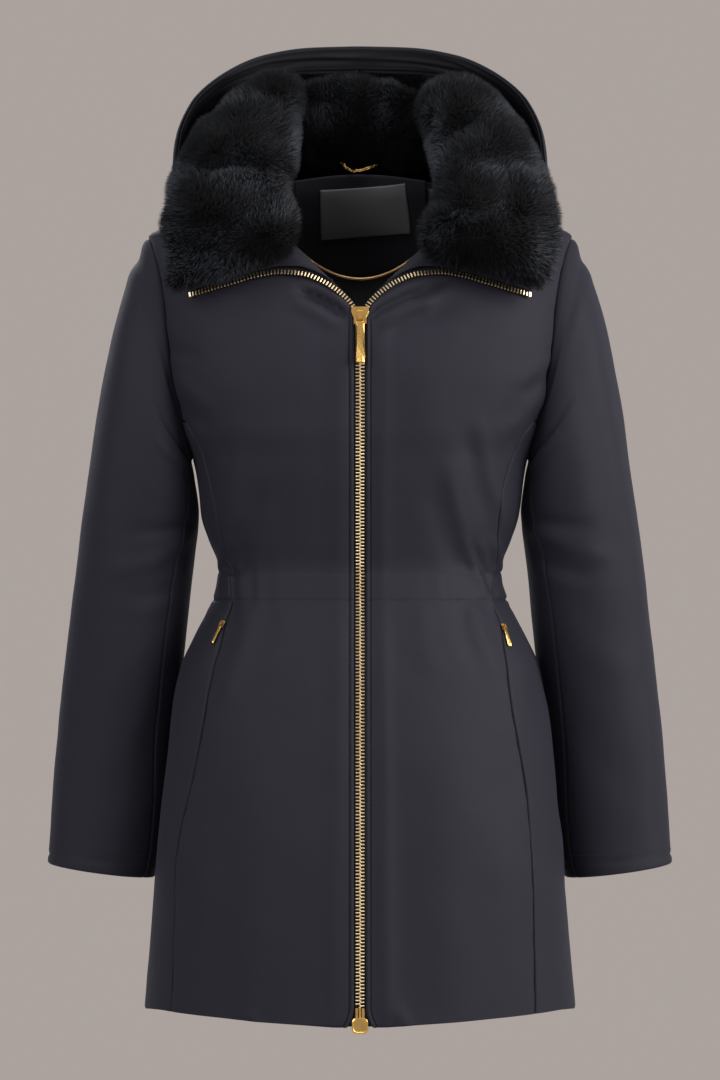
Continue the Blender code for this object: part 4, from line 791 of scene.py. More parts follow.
# neck x y z, lowest line x y z, brim x y z, how far the pouch bulges
HOOD = np.array((
    (0.0, 80, 52.5, 0, 156, -24, 0, 98, 193, 28), (30.0, 75, 51.0, 58, 150, -20, 52, 95, 191, 28),
    (56.0, 60, 48.5, 106, 127, -10, 98, 83, 182, 25), (74.0, 40, 44.5, 144, 91, 3, 141, 58, 159, 20),
    (85.0, 17, 41.5, 166, 50, 11, 170.5, 28, 127, 12), (88.0, -6, 38.0, 177, 12, 15, 182.5, 0, 92, 6),
    (87.0, -25, 26.0, 181, -20, 11, 185.5, -18, 52, 3), (84.0, -48, 12.0, 176, -58, -8, 184, -48, 12, 3),
    (81.0, -64, 0.0, 150, -86, -30, 182, -80, -36, 2), (78.0, -76, -10.0, 126, -99, -46, 166, -93, -72, 1),
))
HOOD = np.column_stack((np.linspace(0, 1, len(HOOD)), HOOD))
# roll x, z, edge x, z, how far it lifts off the chest
LAPEL = np.array((
    (25, -67.8, 28, -66.0, 2.2), (30.5, -61.5, 35, -61.5, 3.0), (38, -54.5, 46, -56.5, 4.0),
    (50, -42.5, 60, -53.0, 5.0), (60, -33.0, 76, -53.0, 5.6), (67, -25.0, 97, -57.0, 6.0),
    (72, -18.0, 119, -62.5, 6.0), (75, -13.5, 140, -68.0, 6.0), (77, -10.5, 163, -74.2, 6.0),
))
LAPEL = np.column_stack((np.linspace(0, 1, len(LAPEL)), LAPEL))
HOOD_ROWS, HOOD_COLUMNS, BRIM_WIDTH, BRIM_DEPTH = 78, 66, 24.0, 4.5
# LAPEL_JOIN is the share where the hood's rows start to run into the lapel's edge.
HOOD_END, CENTRE_OFF, LAPEL_JOIN = 14 / 15, 0.02, 0.6
BRIM_MARKS = np.array((7, 5, 3.4, 2.1, 1.1, 0.4, 0))
# Creases over the hood, in millimetres round from its centre back and up from its neck seam.
HOOD_CREASES = (
    (20, 40, 90, 130, 12.0, 2.2, 6), (60, 30, 130, 110, 11.0, -2.4, 5), (110, 20, 190, 96, 10.0, 2.4, 5),
    (150, 14, 236, 92, 9.0, -2.2, 4), (200, 10, 270, 90, 9.0, 2.0, 4), (250, 6, 300, 80, 8.0, -1.8, 3),
    (30, 180, 130, 240, 13.0, 1.8, -6), (90, 190, 200, 220, 11.0, -1.8, -5), (0, 100, 50, 200, 15.0, -2.0, 4),
    (160, 150, 260, 170, 10.0, 1.6, -4), (230, 120, 320, 130, 8.0, -1.3, -3),
)

# Folds that run along the brim's facing: from, to (round the brim), how far down, how far out.
BRIM_FOLDS = (
    (0, 150, 6, 1.3), (60, 250, 12, -1.2), (130, 330, 4, 1.2), (190, 300, 9, -1.3), (250, 420, 8, 1.4),
    (300, 480, 13, -1.2), (380, 560, 5, 1.3), (430, 600, 11, -1.3), (520, 640, 7, 1.2), (20, 90, 15, -1.0),
    (340, 430, 16, 1.0),
)


def on_front(out, height, sign, proud=0.0):
    """The point of the front that lies this far out at this height, moved out by `proud`."""
    point = level(height, np.array([turn_of(height, out)]))[0]
    up = level(height + 4, np.array([turn_of(height + 4, out)]))[0] - point
    aside = level(height, np.array([turn_of(height, out - 4 if out > 5 else out + 4)]))[0] - point
    normal = unit(np.cross(aside, up))
    if normal[1] > 0:
        normal = -normal
    return (point + proud * normal) * (sign, 1, 1)


def lapel_line(share, sign, base, count=6):
    """The lapel from its roll line to its edge, lifted off the front."""
    roll_x, roll_z, edge_x, edge_z, rise = read_row(LAPEL, share)
    line = []
    for t in np.linspace(0, 1, count):
        crown = 1 + 0.5 * math.sin(math.pi * t) * share
        line.append(on_front(roll_x * (1 - t) + edge_x * t, roll_z * (1 - t) + edge_z * t, sign,
                             base + rise * crown * min(1, 0.35 + t)))
    return np.array(line)


def hood_line(share, sign):
    """One line over the hood: out from the neck seam, down to the pouch and up to the brim."""
    *points, bulge = read_row(HOOD, share)
    neck, low, brim = np.array(points).reshape(3, 3)
    away = unit((low - neck) * (1, 1, 0))
    fall, rise = abs(neck[2] - low[2]), brim[2] - low[2]
    t = np.linspace(0, 1, 40)[:, None]
    under = ((1 - t) ** 3) * neck + 3 * t * (1 - t) ** 2 * (neck + away * 0.5 * fall)
    under = under + 3 * t * t * (1 - t) * (low - away * 0.45 * fall) + t**3 * low
    up = np.array((0.0, 0.0, 1.0))
    over = ((1 - t) ** 3) * low + 3 * t * (1 - t) ** 2 * (low + 1.4 * bulge * away)
    over = over + 3 * t * t * (1 - t) * (brim + 1.7 * bulge * away - 0.34 * rise * up) + t**3 * brim
    return np.concatenate((under, over[1:])) * (sign, 1, 1)


def hood_grid(sign, row_count=HOOD_ROWS, count=HOOD_COLUMNS, last=1.0):
    """Rows from the centre back round to the lapel, each from the neck seam to the brim."""
    rows = []
    lapel_edge = lapel_line(1.0, sign, LAPEL_JOIN)
    ends = at_marks(lapel_edge, np.linspace(0, 1, count) * lengths_along(lapel_edge)[-1])
    for share in np.linspace(0, last, row_count):
        line = hood_line(0.001 + 0.999 * min(share, HOOD_END), sign)
        long = lengths_along(line)[-1]
        even = np.linspace(0.9, long - 9, count - len(BRIM_MARKS))
        row = at_marks(line, np.concatenate((even, long - BRIM_MARKS)))
        t = max(0.0, (share - HOOD_END) / (1 - HOOD_END))
        rows.append((1 - t) * row + t * ends)
    rows[0][:, 0] = sign * CENTRE_OFF
    return np.array(rows)


# Painted shade: the darkened brim twill, for the inside of the hood's brim.
shaded_brim_cloth = cloth_finish("shaded_brim_twill", SHADED_BRIM_LIGHT, SHADED_BRIM_DARK, TWILL_RIBS, 0.3, 0.65, 0.03, (0.62, 0.6, 0.7))
# The facing twill, also used as painted shade on the hood's inside.
facing_and_shade_cloth = cloth_finish("facing_and_shade_twill", FACING_AND_SHADE_LIGHT, FACING_AND_SHADE_DARK, TWILL_RIBS, 0.3, 0.7, 0.03,
                            (0.62, 0.6, 0.7))
for side, sign in SIDES.items():
    grid = hood_grid(sign)
    around = lengths_along(grid[:, HOOD_COLUMNS // 2])[:, None]
    from_neck, from_brim = edge_distances(grid)
    lift = 0.85 * creased(around + np.zeros_like(from_neck), from_neck, HOOD_CREASES)
    lift += 1.2 * unevenness(grid, 60, 31 + sign) + 0.35 * unevenness(grid, 22, 33)
    fade = np.clip(from_neck / 14, 0, 1) * np.clip(from_brim / 30, 0.15, 1)
    lift *= fade * np.clip((around[-1] - around) / 30, 0, 1)
    lift += valley(around, 0.5, 1.2) + valley(from_brim - BRIM_WIDTH, 0.9, 1.3)
    lift += valley(from_brim - 2.2, 0.6, 1.0) - 0.7 * bell(from_brim, 0.8)
    # The hood's inside takes the facing twill, not the lining: painted shade inside the hood.
    sewn_panel(f"hood_{side}_cloth", grid, lift, [f"hood_{side}"],
               flip=side == "right", cloths=(shell_cloth, facing_and_shade_cloth, shell_cloth, shell_cloth))


def inside_hood(start, stop, rows, count, depth, reach):
    """A grid inside the hood, both sides, from below the brim to a distance or a share of the way down."""
    half = hood_grid(1, rows, 90, reach)
    made = []
    for line in [row * (-1, 1, 1) for row in half[:0:-1]] + list(half):
        down = line[::-1]
        end = stop * lengths_along(down)[-1] if stop < 1 else stop
        made.append(at_marks(down, np.linspace(start, end, count)))
    grid = np.array(made)
    return grid - depth * outward(grid, not faces_back(grid, len(grid) // 2, count // 2))


grid = inside_hood(0.3, 0.3 + BRIM_WIDTH, 90, 18, BRIM_DEPTH, 10 / 15)
from_top, from_low = edge_distances(grid)
along_brim = lengths_along(grid[:, 6])[:, None] + 0 * from_top
lift = valley(from_low - 1.6, 0.5, 0.8) - 0.5 * bell(from_top, 0.9) + 0.6 * unevenness(grid, 34, 41)
for start, stop, down, deep in BRIM_FOLDS:
    run = np.clip((along_brim - start) / (stop - start), 0, 1)
    fade = np.clip(np.minimum(along_brim - start, stop - along_brim) / 26, 0, 1)
    lift += deep * fade * bell(from_top - down - 5 * np.sin(2.4 * run), 2.4)
# The brim's facing takes the darkened brim twill: painted shade.
sewn_panel("hood_brim_cloth", grid, lift, ["hood_brim"],
           flip=faces_back(grid, len(grid) // 2, 6), wall=1.0, cloths=(shaded_brim_cloth,) * 4)

# ---------------------------------------------------------------- the lapels
# The tops of the fronts, turned out over the chest. Each is one piece of shell that rolls at the
# neck and ends in the edge that carries its half of the open zip.
LAPEL_ROWS, LAPEL_COLUMNS, LAPEL_PROUD, LAPEL_STITCH = 60, 26, 2.9, 5.6
for side, sign in SIDES.items():
    shares = np.linspace(0, 1, LAPEL_ROWS)
    grid = np.array([lapel_line(share, sign, LAPEL_PROUD, LAPEL_COLUMNS) for share in shares])
    grid[-1] += 1.2 * unit(grid[-4] - grid[-1])
    _, from_edge = edge_distances(grid)
    lift = 0.7 * unevenness(grid, 34, 51 + sign) + 0.25 * unevenness(grid, 14, 53)
    lift = lift * np.clip(from_edge / 6, 0, 1) - 0.5 * bell(from_edge, 0.8)
    lift = lift + valley(from_edge - LAPEL_STITCH, 0.5, 0.8)
    sewn_panel(f"lapel_{side}_cloth", grid, lift, [f"lapel_{side}"],
               flip=side == "right", cloths=(shell_cloth,) * 4)


# ---------------------------------------------------------------- the fur
# Dense, short faux mink in soft lumps: a knitted ground, as dark as the pile, with every hair
# rooted in it. Neighbouring hairs lean together and part round hollows. The hollows hold painted
# shade ringed with painted light, and painted highlights mark where the pile catches the light.
FUR_ROOT, FUR_TIP = (0.0009, 0.0010, 0.0013), (0.0560, 0.0590, 0.0710)
PILE_REACH, BACK_REACH, HAIR_ROOT, STRAND_SCALE = 7.8, 8.5, 0.30, 600.0
# How much neighbouring hairs turn together, over what distance, and how much each turns on its own.
SWIRL, SWIRL_SIZE, LOOSE = 0.7, 26.0, 0.2
THIN = 1.0
# each pile: hairs to the square metre, seed, length, and the way it is brushed
PILES = {
    "right": (760000.0, 5, 10.6, (-0.25, -0.1, -0.15)), "left": (760000.0, 5, 10.6, (0.25, -0.1, -0.15)),
    "back": (900000.0, 6, 10.5, (0.0, -0.35, -0.25)), "hood": (400000.0, 8, 8.5, (0.0, -0.1, 0.5)),
}
# inner x z, outer x z, front and back, from the lower edge up to the crown
FUR = {
    "right": (
        (72, -47, 184, -78, -125, -103.7), (60, -35, 190, -64, -138, -99.7), (56, -12, 192, -34, -142, -90),
        (57, 8, 197.5, -9, -138, -70), (66, 22, 194, 12, -124, -46), (60, 46, 191, 38, -104, 0),
        (57, 74, 184, 64, -80, 42), (61, 101, 172, 90, -54, 64), (54, 126, 150, 117, -28, 76),
        (53, 148, 118, 146, 0, 78), (68, 160, 100, 160, 20, 60),
    ),
    "left": (
        (69, -48, 181, -80, -125, -105.4), (55, -37, 188, -66, -138, -101.4), (52, -12, 193, -36, -142, -90),
        (58, 6, 198, -9, -138, -70), (74, 18, 195, 12, -124, -46), (69, 44, 190, 38, -104, 0),
        (61, 74, 180, 64, -80, 42), (56, 98, 172, 90, -54, 64), (52, 122, 156, 117, -28, 76),
        (62, 146, 134, 144, 0, 78), (84, 159, 112, 158, 20, 60),
    ),
}
# across, middle y, half depth, bottom, top
BACK_FUR = (
    (-80, 84, 8, 68, 132), (-72, 87, 15, 59, 150), (-50, 89, 20, 54, 162), (-22, 92, 21, 52.5, 168),
    (8, 92, 21, 52.5, 166), (34, 91, 20, 54, 156), (56, 88, 19, 57, 150), (74, 87, 15, 59, 142),
    (82, 84, 8, 68, 128),
)
# Where the pile parts: across, height, reach across and up, and how dark the painted shade in its
# hollow is; a ring of painted light goes round it.
PARTINGS_AND_SHADE = {
    "right": (
        (126, 80, 34, 20, 0.8), (146, 6, 22, 16, 0.9), (84, -24, 24, 14, 0.95), (163, 24, 12, 12, 0.6),
        (150, 66, 16, 14, 0.5), (88, 56, 14, 10, 0.7), (84, 140, 20, 12, 0.7), (120, 112, 20, 12, 0.5),
    ),
    "left": (
        (106, 114, 26, 16, 0.85), (140, 82, 18, 16, 0.7), (102, 20, 20, 16, 0.9), (126, -29, 34, 16, 0.95),
        (60, 118, 12, 16, 0.7), (110, 62, 14, 12, 0.7), (160, 10, 14, 16, 0.6), (90, 46, 10, 12, 0.5),
        (74, -4, 12, 8, 0.6),
    ),
    "back": (
        (-4, 92, 40, 26, 0.95), (-56, 84, 16, 22, 0.8), (54, 86, 16, 24, 0.8), (6, 138, 12, 18, 0.7),
        (-64, 128, 9, 14, 0.5), (48, 140, 12, 16, 0.6),
    ),
    "hood": (),
}
# Painted highlights, where the pile stands up or folds over and would catch the light, given the same way.
PAINTED_SHEENS = {
    "right": (
        (102, 34, 30, 13, 0.75), (80, 4, 16, 13, 0.75), (140, -52, 38, 13, 1.7), (64, 84, 8, 30, 1.2),
        (180, 44, 8, 24, 0.9), (140, 122, 34, 8, 0.45), (60, 24, 8, 14, 0.6), (180, -30, 9, 20, 0.5),
        (118, 60, 16, 7, 0.35),
    ),
    "left": (
        (72, 70, 12, 30, 1.3), (138, 44, 22, 9, 0.6), (172, 48, 8, 28, 0.7), (176, -44, 12, 20, 1.3),
        (78, -20, 12, 8, 0.55), (58, 12, 7, 18, 0.6), (104, -56, 34, 6, 0.4), (140, 116, 24, 8, 0.35),
    ),
    "back": ((-34, 128, 7, 22, 0.5), (22, 120, 8, 26, 0.6), (-66, 150, 14, 7, 0.3), (40, 152, 16, 6, 0.3)),
    "hood": (),
}
# Folds of the thick pile, given like the shell's creases.
FUR_FOLDS = {
    "right": ((152, 48, 100, 55, 7.0, -6.0, 3), (176, 34, 196, 10, 8.0, -3.5, 2),
              (96, -30, 74, -14, 6.0, -3.0, 0),
              (130, 78, 150, 130, 9.0, -2.5, 2), (86, 60, 70, 96, 7.0, -2.5, -2)),
    "left": ((66, 0, 98, 8, 5.0, -5.0, 3), (70, 20, 62, 92, 6.0, -3.0, 3), (112, 74, 146, 44, 8.0, -4.0, -3),
             (150, 60, 184, 66, 8.0, -3.0, 2), (104, 112, 140, 96, 9.0, -3.0, 3)),
    "back": ((-38, 78, -36, 160, 6.0, -3.0, 3), (22, 84, 20, 160, 6.0, -3.5, -3),
             (-64, 80, -62, 140, 5.0, -2.5, 2),
             (58, 84, 60, 150, 5.0, -2.0, 2)),
}


def fur_finish():
    """Dark at the root; toward the tip as light as the tone "shown", with its painted sheen and shade, makes
    it.
    """
    made, tree, shader = new_finish("faux_mink")
    along = add(tree, "ShaderNodeAttribute", attribute_name="tip")
    shown = add(tree, "ShaderNodeAttribute", attribute_name="shown")
    both = add(tree, "ShaderNodeMath", operation="MULTIPLY")
    lock = speckle(tree, add(tree, "ShaderNodeTexCoord").outputs["Object"], Scale=190.0, Detail=2.0)
    rough = add(tree, "ShaderNodeMapRange", To_Min=0.5, To_Max=0.66)
    wire(
        tree, (along.outputs["Fac"], both.inputs[0]), (shown.outputs["Fac"], both.inputs[1]),
        (mixed_colour(tree, both.outputs[0], FUR_ROOT, FUR_TIP), shader.inputs["Base Color"]),
        (lock.outputs[0], rough.inputs["Value"]), (rough.outputs[0], shader.inputs["Roughness"]),
    )
    set_on(shader, Specular_IOR_Level=0.09)
    return made


def pile_tree():
    """Hairs over a ground, each along the way that the ground's own "lie" gives it there."""
    tree, given, made = group_with("fur_pile", (
        ("Geometry", "Geometry"), ("Hair", "Object"), ("Finish", "Material"), ("Hairs", "Float"),
        ("Seed", "Int"), ("Long", "Float"), ("Thick", "Float"), ("Loose", "Float"),
    ), (("Geometry", "Geometry"),), "Geometry")
    scatter = add(tree, "GeometryNodeDistributePointsOnFaces")
    lie = add(tree, "GeometryNodeInputNamedAttribute", data_type="FLOAT_VECTOR", Name="lie")
    chance = add(tree, "FunctionNodeRandomValue", data_type="FLOAT_VECTOR")
    chance.inputs[0].default_value, chance.inputs[1].default_value = (-1, -1, -1), (1, 1, 1)
    spread = add(tree, "ShaderNodeVectorMath", operation="SCALE")
    loose = add(tree, "ShaderNodeVectorMath", operation="ADD")
    turn = add(tree, "FunctionNodeAlignRotationToVector", axis="Z")
    size = add(tree, "FunctionNodeRandomValue")
    size.inputs[2].default_value, size.inputs[3].default_value = 0.78, 1.06
    long = add(tree, "ShaderNodeMath", operation="MULTIPLY")
    scale = add(tree, "ShaderNodeCombineXYZ")
    # Strands: the ground's tone, with its painted sheen and shade, made uneven from hair to hair.
    shown = add(tree, "GeometryNodeInputNamedAttribute", data_type="FLOAT", Name="shown")
    strand = add(tree, "ShaderNodeTexNoise", Scale=STRAND_SCALE, Detail=1.0)
    contrast = add(tree, "ShaderNodeMapRange", From_Min=0.40, From_Max=0.64, To_Min=0.05, To_Max=2.1)
    locks = add(tree, "ShaderNodeMath", operation="POWER")
    locks.inputs[1].default_value = 1.4
    lit = add(tree, "ShaderNodeMath", operation="MULTIPLY")
    keep = add(tree, "GeometryNodeStoreNamedAttribute", data_type="FLOAT", domain="POINT", Name="shown")
    hair, plant = add(tree, "GeometryNodeObjectInfo"), add(tree, "GeometryNodeInstanceOnPoints")
    real, join = add(tree, "GeometryNodeRealizeInstances"), add(tree, "GeometryNodeJoinGeometry")
    paint = add(tree, "GeometryNodeSetMaterial")
    wire(
        tree, (given.outputs["Geometry"], scatter.inputs["Mesh"]),
        (given.outputs["Hairs"], scatter.inputs["Density"]),
        (given.outputs["Seed"], scatter.inputs["Seed"]), (given.outputs["Seed"], chance.inputs["Seed"]),
        (chance.outputs[0], spread.inputs[0]), (given.outputs["Loose"], spread.inputs["Scale"]),
        (lie.outputs[0], loose.inputs[0]), (spread.outputs[0], loose.inputs[1]),
        (loose.outputs[0], turn.inputs["Vector"]), (given.outputs["Seed"], size.inputs["Seed"]),
        (size.outputs[1], long.inputs[0]), (given.outputs["Long"], long.inputs[1]),
        (given.outputs["Thick"], scale.inputs[0]), (given.outputs["Thick"], scale.inputs[1]),
        (long.outputs[0], scale.inputs[2]), (strand.outputs[0], contrast.inputs["Value"]),
        (contrast.outputs[0], locks.inputs[0]), (shown.outputs[0], lit.inputs[0]),
        (locks.outputs[0], lit.inputs[1]), (lit.outputs[0], keep.inputs["Value"]),
        (scatter.outputs["Points"], keep.inputs["Geometry"]),
        (given.outputs["Hair"], hair.inputs[0]), (keep.outputs[0], plant.inputs["Points"]),
        (hair.outputs["Geometry"], plant.inputs["Instance"]), (turn.outputs[0], plant.inputs["Rotation"]),
        (scale.outputs[0], plant.inputs["Scale"]), (plant.outputs[0], join.inputs[0]),
        (given.outputs["Geometry"], join.inputs[0]), (join.outputs[0], real.inputs[0]),
        (real.outputs[0], paint.inputs["Geometry"]), (given.outputs["Finish"], paint.inputs["Material"]),
        (paint.outputs[0], made.inputs[0]),
    )
    return tree


def evaluated_mesh(made):
    """The plain mesh that an object's modifiers make. The object itself is removed."""
    mesh = bpy.data.meshes.new_from_object(made.evaluated_get(bpy.context.evaluated_depsgraph_get()))
    made.modifiers.clear()
    bpy.data.objects.remove(made, do_unlink=True)
    return mesh


def grown(name, ground, tree, values):
    """The plain mesh that a tree makes on an object, with its inputs given by name."""
    growth = ground.modifiers.new("growth", "NODES")
    growth.node_group = tree
    named = {item.name: item.identifier for item in tree.interface.items_tree if item.in_out == "INPUT"}
    for label, value in values.items():
        growth[named[label]] = value
    return placed(name, evaluated_mesh(ground))


def hair_piece():
    """One hair: a three-sided spike, one unit long."""
    corners = (0.0, 2 * math.pi / 3, 4 * math.pi / 3)
    points = [(math.cos(angle), math.sin(angle), 0.0) for angle in corners] + [(0, 0, 1)]
    mesh = bpy.data.meshes.new("hair")
    mesh.from_pydata(points, [], [(0, 1, 3), (1, 2, 3), (2, 0, 3)])
    mesh.attributes.new("tip", "FLOAT", "POINT").data.foreach_set("value", [0.0, 0.0, 0.0, 1.0])
    mesh.shade_smooth()
    return placed("hair", mesh)


def ground_points(ground):
    mesh = ground.data
    places = np.array([v.co[:] for v in mesh.vertices]) / MM
    return mesh, places, np.array([v.normal[:] for v in mesh.vertices])


def lay_pile_and_paint_light(ground, side, lay, seed):
    """Stores on a ground the way its hairs lie and a tone with painted sheen and shade: the hairs part round
    hollows of painted shade.
    """
    mesh, places, normals = ground_points(ground)
    across = places[:, 0] if side == "back" else np.abs(places[:, 0])
    push, calm = np.zeros((len(places), 2)), np.ones(len(places))
    shown = 1 + 0.5 * unevenness(places, 34, seed) + 0.5 * unevenness(places, 13, seed + 2)
    # Painted shade: the back piece, deep behind the neck, starts darker than the sides.
    shown *= 0.08 if side == "back" else 0.13
    for x, z, reach_x, reach_z, dark in PARTINGS_AND_SHADE[side]:
        off = np.stack(((across - x) / reach_x, (places[:, 2] - z) / reach_z), axis=1)
        far = np.linalg.norm(off, axis=1)
        near = np.exp(-(far**2) / 2)
        push += 1.25 * off * near[:, None]
        calm *= 1 - 0.9 * near
        # Painted shade in the parting's hollow, and a ring of painted light round it.
        shown = shown * (1 - dark * bell(far, 1)) + 0.12 * dark * bell(far - 1.75, 0.5)
    # Painted highlights where the pile would catch the light.
    for x, z, reach_x, reach_z, light in PAINTED_SHEENS[side]:
        far = np.hypot((across - x) / reach_x, (places[:, 2] - z) / reach_z)
        shown = shown + light * bell(far, 1) * (1 + 0.35 * unevenness(places, 9, seed + 3))
    lie = normals + np.array(lay) * (0.3 + 0.7 * calm)[:, None]
    for axis in range(3):
        lie[:, axis] += SWIRL * (0.2 + 0.8 * calm) * unevenness(places, SWIRL_SIZE, seed + 7 + axis)
    lie[:, 0] += push[:, 0] * (1 if side == "back" else np.sign(places[:, 0]))
    lie[:, 2] += push[:, 1]
    shown = np.clip(shown, 0.04, 1.5).astype(np.float32)
    lie = lie.astype(np.float32).ravel()
    mesh.attributes.new("lie", "FLOAT_VECTOR", "POINT").data.foreach_set("vector", lie)
    mesh.attributes.new("shown", "FLOAT", "POINT").data.foreach_set("value", shown)


def squared_ring(middle, wide, deep, count):
    """Points round an oval with square shoulders, given its middle and its two half widths as vectors."""
    ring = []
    for k in range(count):
        cos, sin = math.cos(math.pi * k / (count / 2)), math.sin(math.pi * k / (count / 2))
        ring.append(middle + (cos * wide + sin * deep) / max(abs(cos), abs(sin)) ** 0.45)
    return ring


def lumpy_ground(name, rings, reach, lump, deep, seed, folds):
    """The knitted ground under a pile: a closed cage of rings, smoothed, with lumps, drawn in by a reach."""
    count = len(rings[0])
    points = [point for ring in rings for point in ring]
    faces = []
    for i in range(len(rings) - 1):
        for j in range(count):
            a, b = i * count + j, i * count + (j + 1) % count
            faces.append((a, b, b + count, a + count))
    first, last = len(points), (len(rings) - 1) * count
    points += [np.mean(rings[0], axis=0), np.mean(rings[-1], axis=0)]
    for j in range(count):
        faces.append((first, (j + 1) % count, j))
        faces.append((first + 1, last + j, last + (j + 1) % count))
    cage = bpy.data.meshes.new(name)
    cage.from_pydata([tuple(float(v) * MM for v in p) for p in points], [], faces)
    shape = bmesh.new()
    shape.from_mesh(cage)
    bmesh.ops.recalc_face_normals(shape, faces=shape.faces)
    rough = from_bmesh(name, shape)
    soft = rough.modifiers.new("soft", "SUBSURF")
    soft.levels = soft.render_levels = 2
    made = placed(name, evaluated_mesh(rough))
    mesh, places, normals = ground_points(made)
    lumps = np.abs(unevenness(places, lump, seed)) * 2 - 0.5 + 0.5 * unevenness(places, lump * 0.45, seed + 4)
    folded = creased(np.abs(places[:, 0]) if "back" not in name else places[:, 0], places[:, 2], folds)
    places -= (reach - deep * lumps - folded * (normals[:, 1] < 0.2))[:, None] * normals
    mesh.vertices.foreach_set("co", (places * MM).ravel())
    mesh.update()
    return made


def grow_fur(ground, side):
    hairs, seed, long, lay = PILES[side]
    lay_pile_and_paint_light(ground, side, lay, seed * 5)
    made = grown(f"fur_{side}_pile", ground, pile, {
        "Hair": one_hair, "Finish": faux_mink, "Hairs": hairs * THIN, "Seed": seed, "Long": long * MM,
        "Thick": HAIR_ROOT * MM, "Loose": LOOSE,
    })
    dressed(made, "black_fur", f"fur_{side}")


faux_mink = fur_finish()
pile = pile_tree()
one_hair = hair_piece()
for side, sign in SIDES.items():
    rings = []
    for inner_x, inner_z, outer_x, outer_z, front, rear in FUR[side]:
        middle = np.array(((inner_x + outer_x) / 2, (front + rear) / 2, (inner_z + outer_z) / 2))
        wide = np.array(((outer_x - inner_x) / 2, 0, (outer_z - inner_z) / 2))
        deep = np.array((0, (rear - front) / 2, 0))
        rings.append([point * (sign, 1, 1) for point in squared_ring(middle, wide, deep, 20)])
    grow_fur(lumpy_ground(f"fur_{side}_ground", rings, PILE_REACH, 46, 3.2, 61 + sign, FUR_FOLDS[side]), side)

rings = []
for across, middle_y, half_depth, bottom, top in BACK_FUR:
    middle = np.array((across, middle_y, (bottom + top) / 2))
    rings.append(squared_ring(middle, np.array((0, half_depth, 0)), np.array((0, 0, (top - bottom) / 2)), 24))
grow_fur(lumpy_ground("fur_back_ground", rings, BACK_REACH, 38, 3.0, 71, FUR_FOLDS["back"]), "back")

grid = inside_hood(0.5 + BRIM_WIDTH + 2, 0.5, 40, 26, 7.5, 7.4 / 15)
lining_flip = faces_back(grid, len(grid) // 2, 13)
grid = grid + (2.0 * unevenness(grid, 34, 81))[..., None] * outward(grid, lining_flip)
grow_fur(placed("fur_hood_ground", grid_mesh("fur_hood_ground", grid, lining_flip, (faux_mink,))), "hood")
bpy.data.objects.remove(one_hair, do_unlink=True)

# ---------------------------------------------------------------- the zip
# A heavy metal zip: stamped teeth clamped on a woven tape, closed up the front, then open along
# both lapels up to a stop. Slider, pull and box are cast and plated to match.
CHAIN_END_Z, TAPE_END_Z, TAPE_TOP_Z, TOOTH_PITCH, TEETH_SINK = -762.0, -781.0, -104.0, 3.35, 1.6
# each block of a tooth: across, along, thick, how far its middle is from the tooth's own
TOOTH_BLOCKS = ((3.1, 1.15, 2.5, 0.55), (2.2, 1.6, 3.1, -1.75))
OPEN_TOOTH_BLOCKS = ((4.9, 1.4, 2.6, 0.0),)
STOP_BLOCKS = ((5.4, 3.2, 3.0, 0.0),)
TOOTH_ROUND, STOP_ROUND, FIRST_TOOTH = 0.3, 0.6, 0.8
PALE_GOLD, PALE_GOLD_DEEP = (1.0, 0.83, 0.54), (0.86, 0.62, 0.33)
GOLD, GOLD_DEEP = (0.95, 0.61, 0.21), (0.70, 0.38, 0.09)
TAPE_LIGHT, TAPE_DARK = (0.0040, 0.0039, 0.0050), (0.0012, 0.0012, 0.0016)
TAPE_WALL, LAPEL_TAPE_WALL, TAPE_STEP = 0.55, 0.5, 2.5
# How far from the middle the tape's columns lie, and how deep behind the front it is at some distances.
TAPE_COLUMNS = (0.7, 2.0, 3.4, 4.6, 5.8, 7.0, 9.0, 11.0, 13.0)
TAPE_DEPTHS = (0.7, 4.6, 8.0, 13.0), (-1.9, -1.9, -2.7, -2.9)
# along the open half, how far out, height, how far proud
TEETH = np.array((
    (0, 2.25, -108.0, 0.0), (9, 2.5, -99.0, 0.0), (17, 5.2, -91.5, 0.0), (25, 9.6, -85.0, 1.4),
    (41, 21.5, -74.8, 4.4), (58, 36.5, -65.6, 5.4), (80, 57.0, -58.4, 5.4), (101, 78.0, -56.9, 6.2),
    (124, 101.0, -60.2, 6.2), (146, 122.5, -66.0, 6.2), (169, 144.5, -71.8, 6.2), (189, 164.0, -77.0, 6.2),
))


def burnish_group():
    """Plated metal: fine scratches and a little handling, as a colour, a roughness and a normal."""
    group, given, made = group_with(
        "burnish",
        (("Vector", "Vector"), ("Bright", "Color"), ("Deep", "Color"), ("Smooth", "Float"), ("Fine", "Float")),
        (("Color", "Color"), ("Roughness", "Float"), ("Normal", "Vector")),
    )
    place = given.outputs["Vector"]
    stretch = add(group, "ShaderNodeMapping", Scale=(1.0, 1.0, 0.12))
    scratch = speckle(group, stretch.outputs[0], Detail=4.0)
    handled = speckle(group, place, Scale=160.0).outputs[0]
    bump = add(group, "ShaderNodeBump", Strength=0.12, Distance=0.0002)
    wire(
        group, (place, stretch.inputs["Vector"]), (given.outputs["Fine"], scratch.inputs["Scale"]),
        (mixed_colour(group, handled, given.outputs["Deep"], given.outputs["Bright"]), made.inputs["Color"]),
        (grained_roughness(group, scratch.outputs[0], 0.22, given.outputs["Smooth"]), made.inputs["Roughness"]),
        (scratch.outputs[0], bump.inputs["Height"]), (bump.outputs[0], made.inputs["Normal"]),
    )
    return group


def plated(name, bright, deep, smooth_from, metallic=1.0, fine=2600.0):
    """A plated metal's material: its scratches follow the piece itself."""
    made, shader = grouped_finish(
        name, burnish, lambda tree: add(tree, "ShaderNodeTexCoord").outputs["Object"],
        Bright=(*bright, 1), Deep=(*deep, 1), Smooth=smooth_from, Fine=fine,
    )
    set_on(shader, Metallic=metallic)
    return made


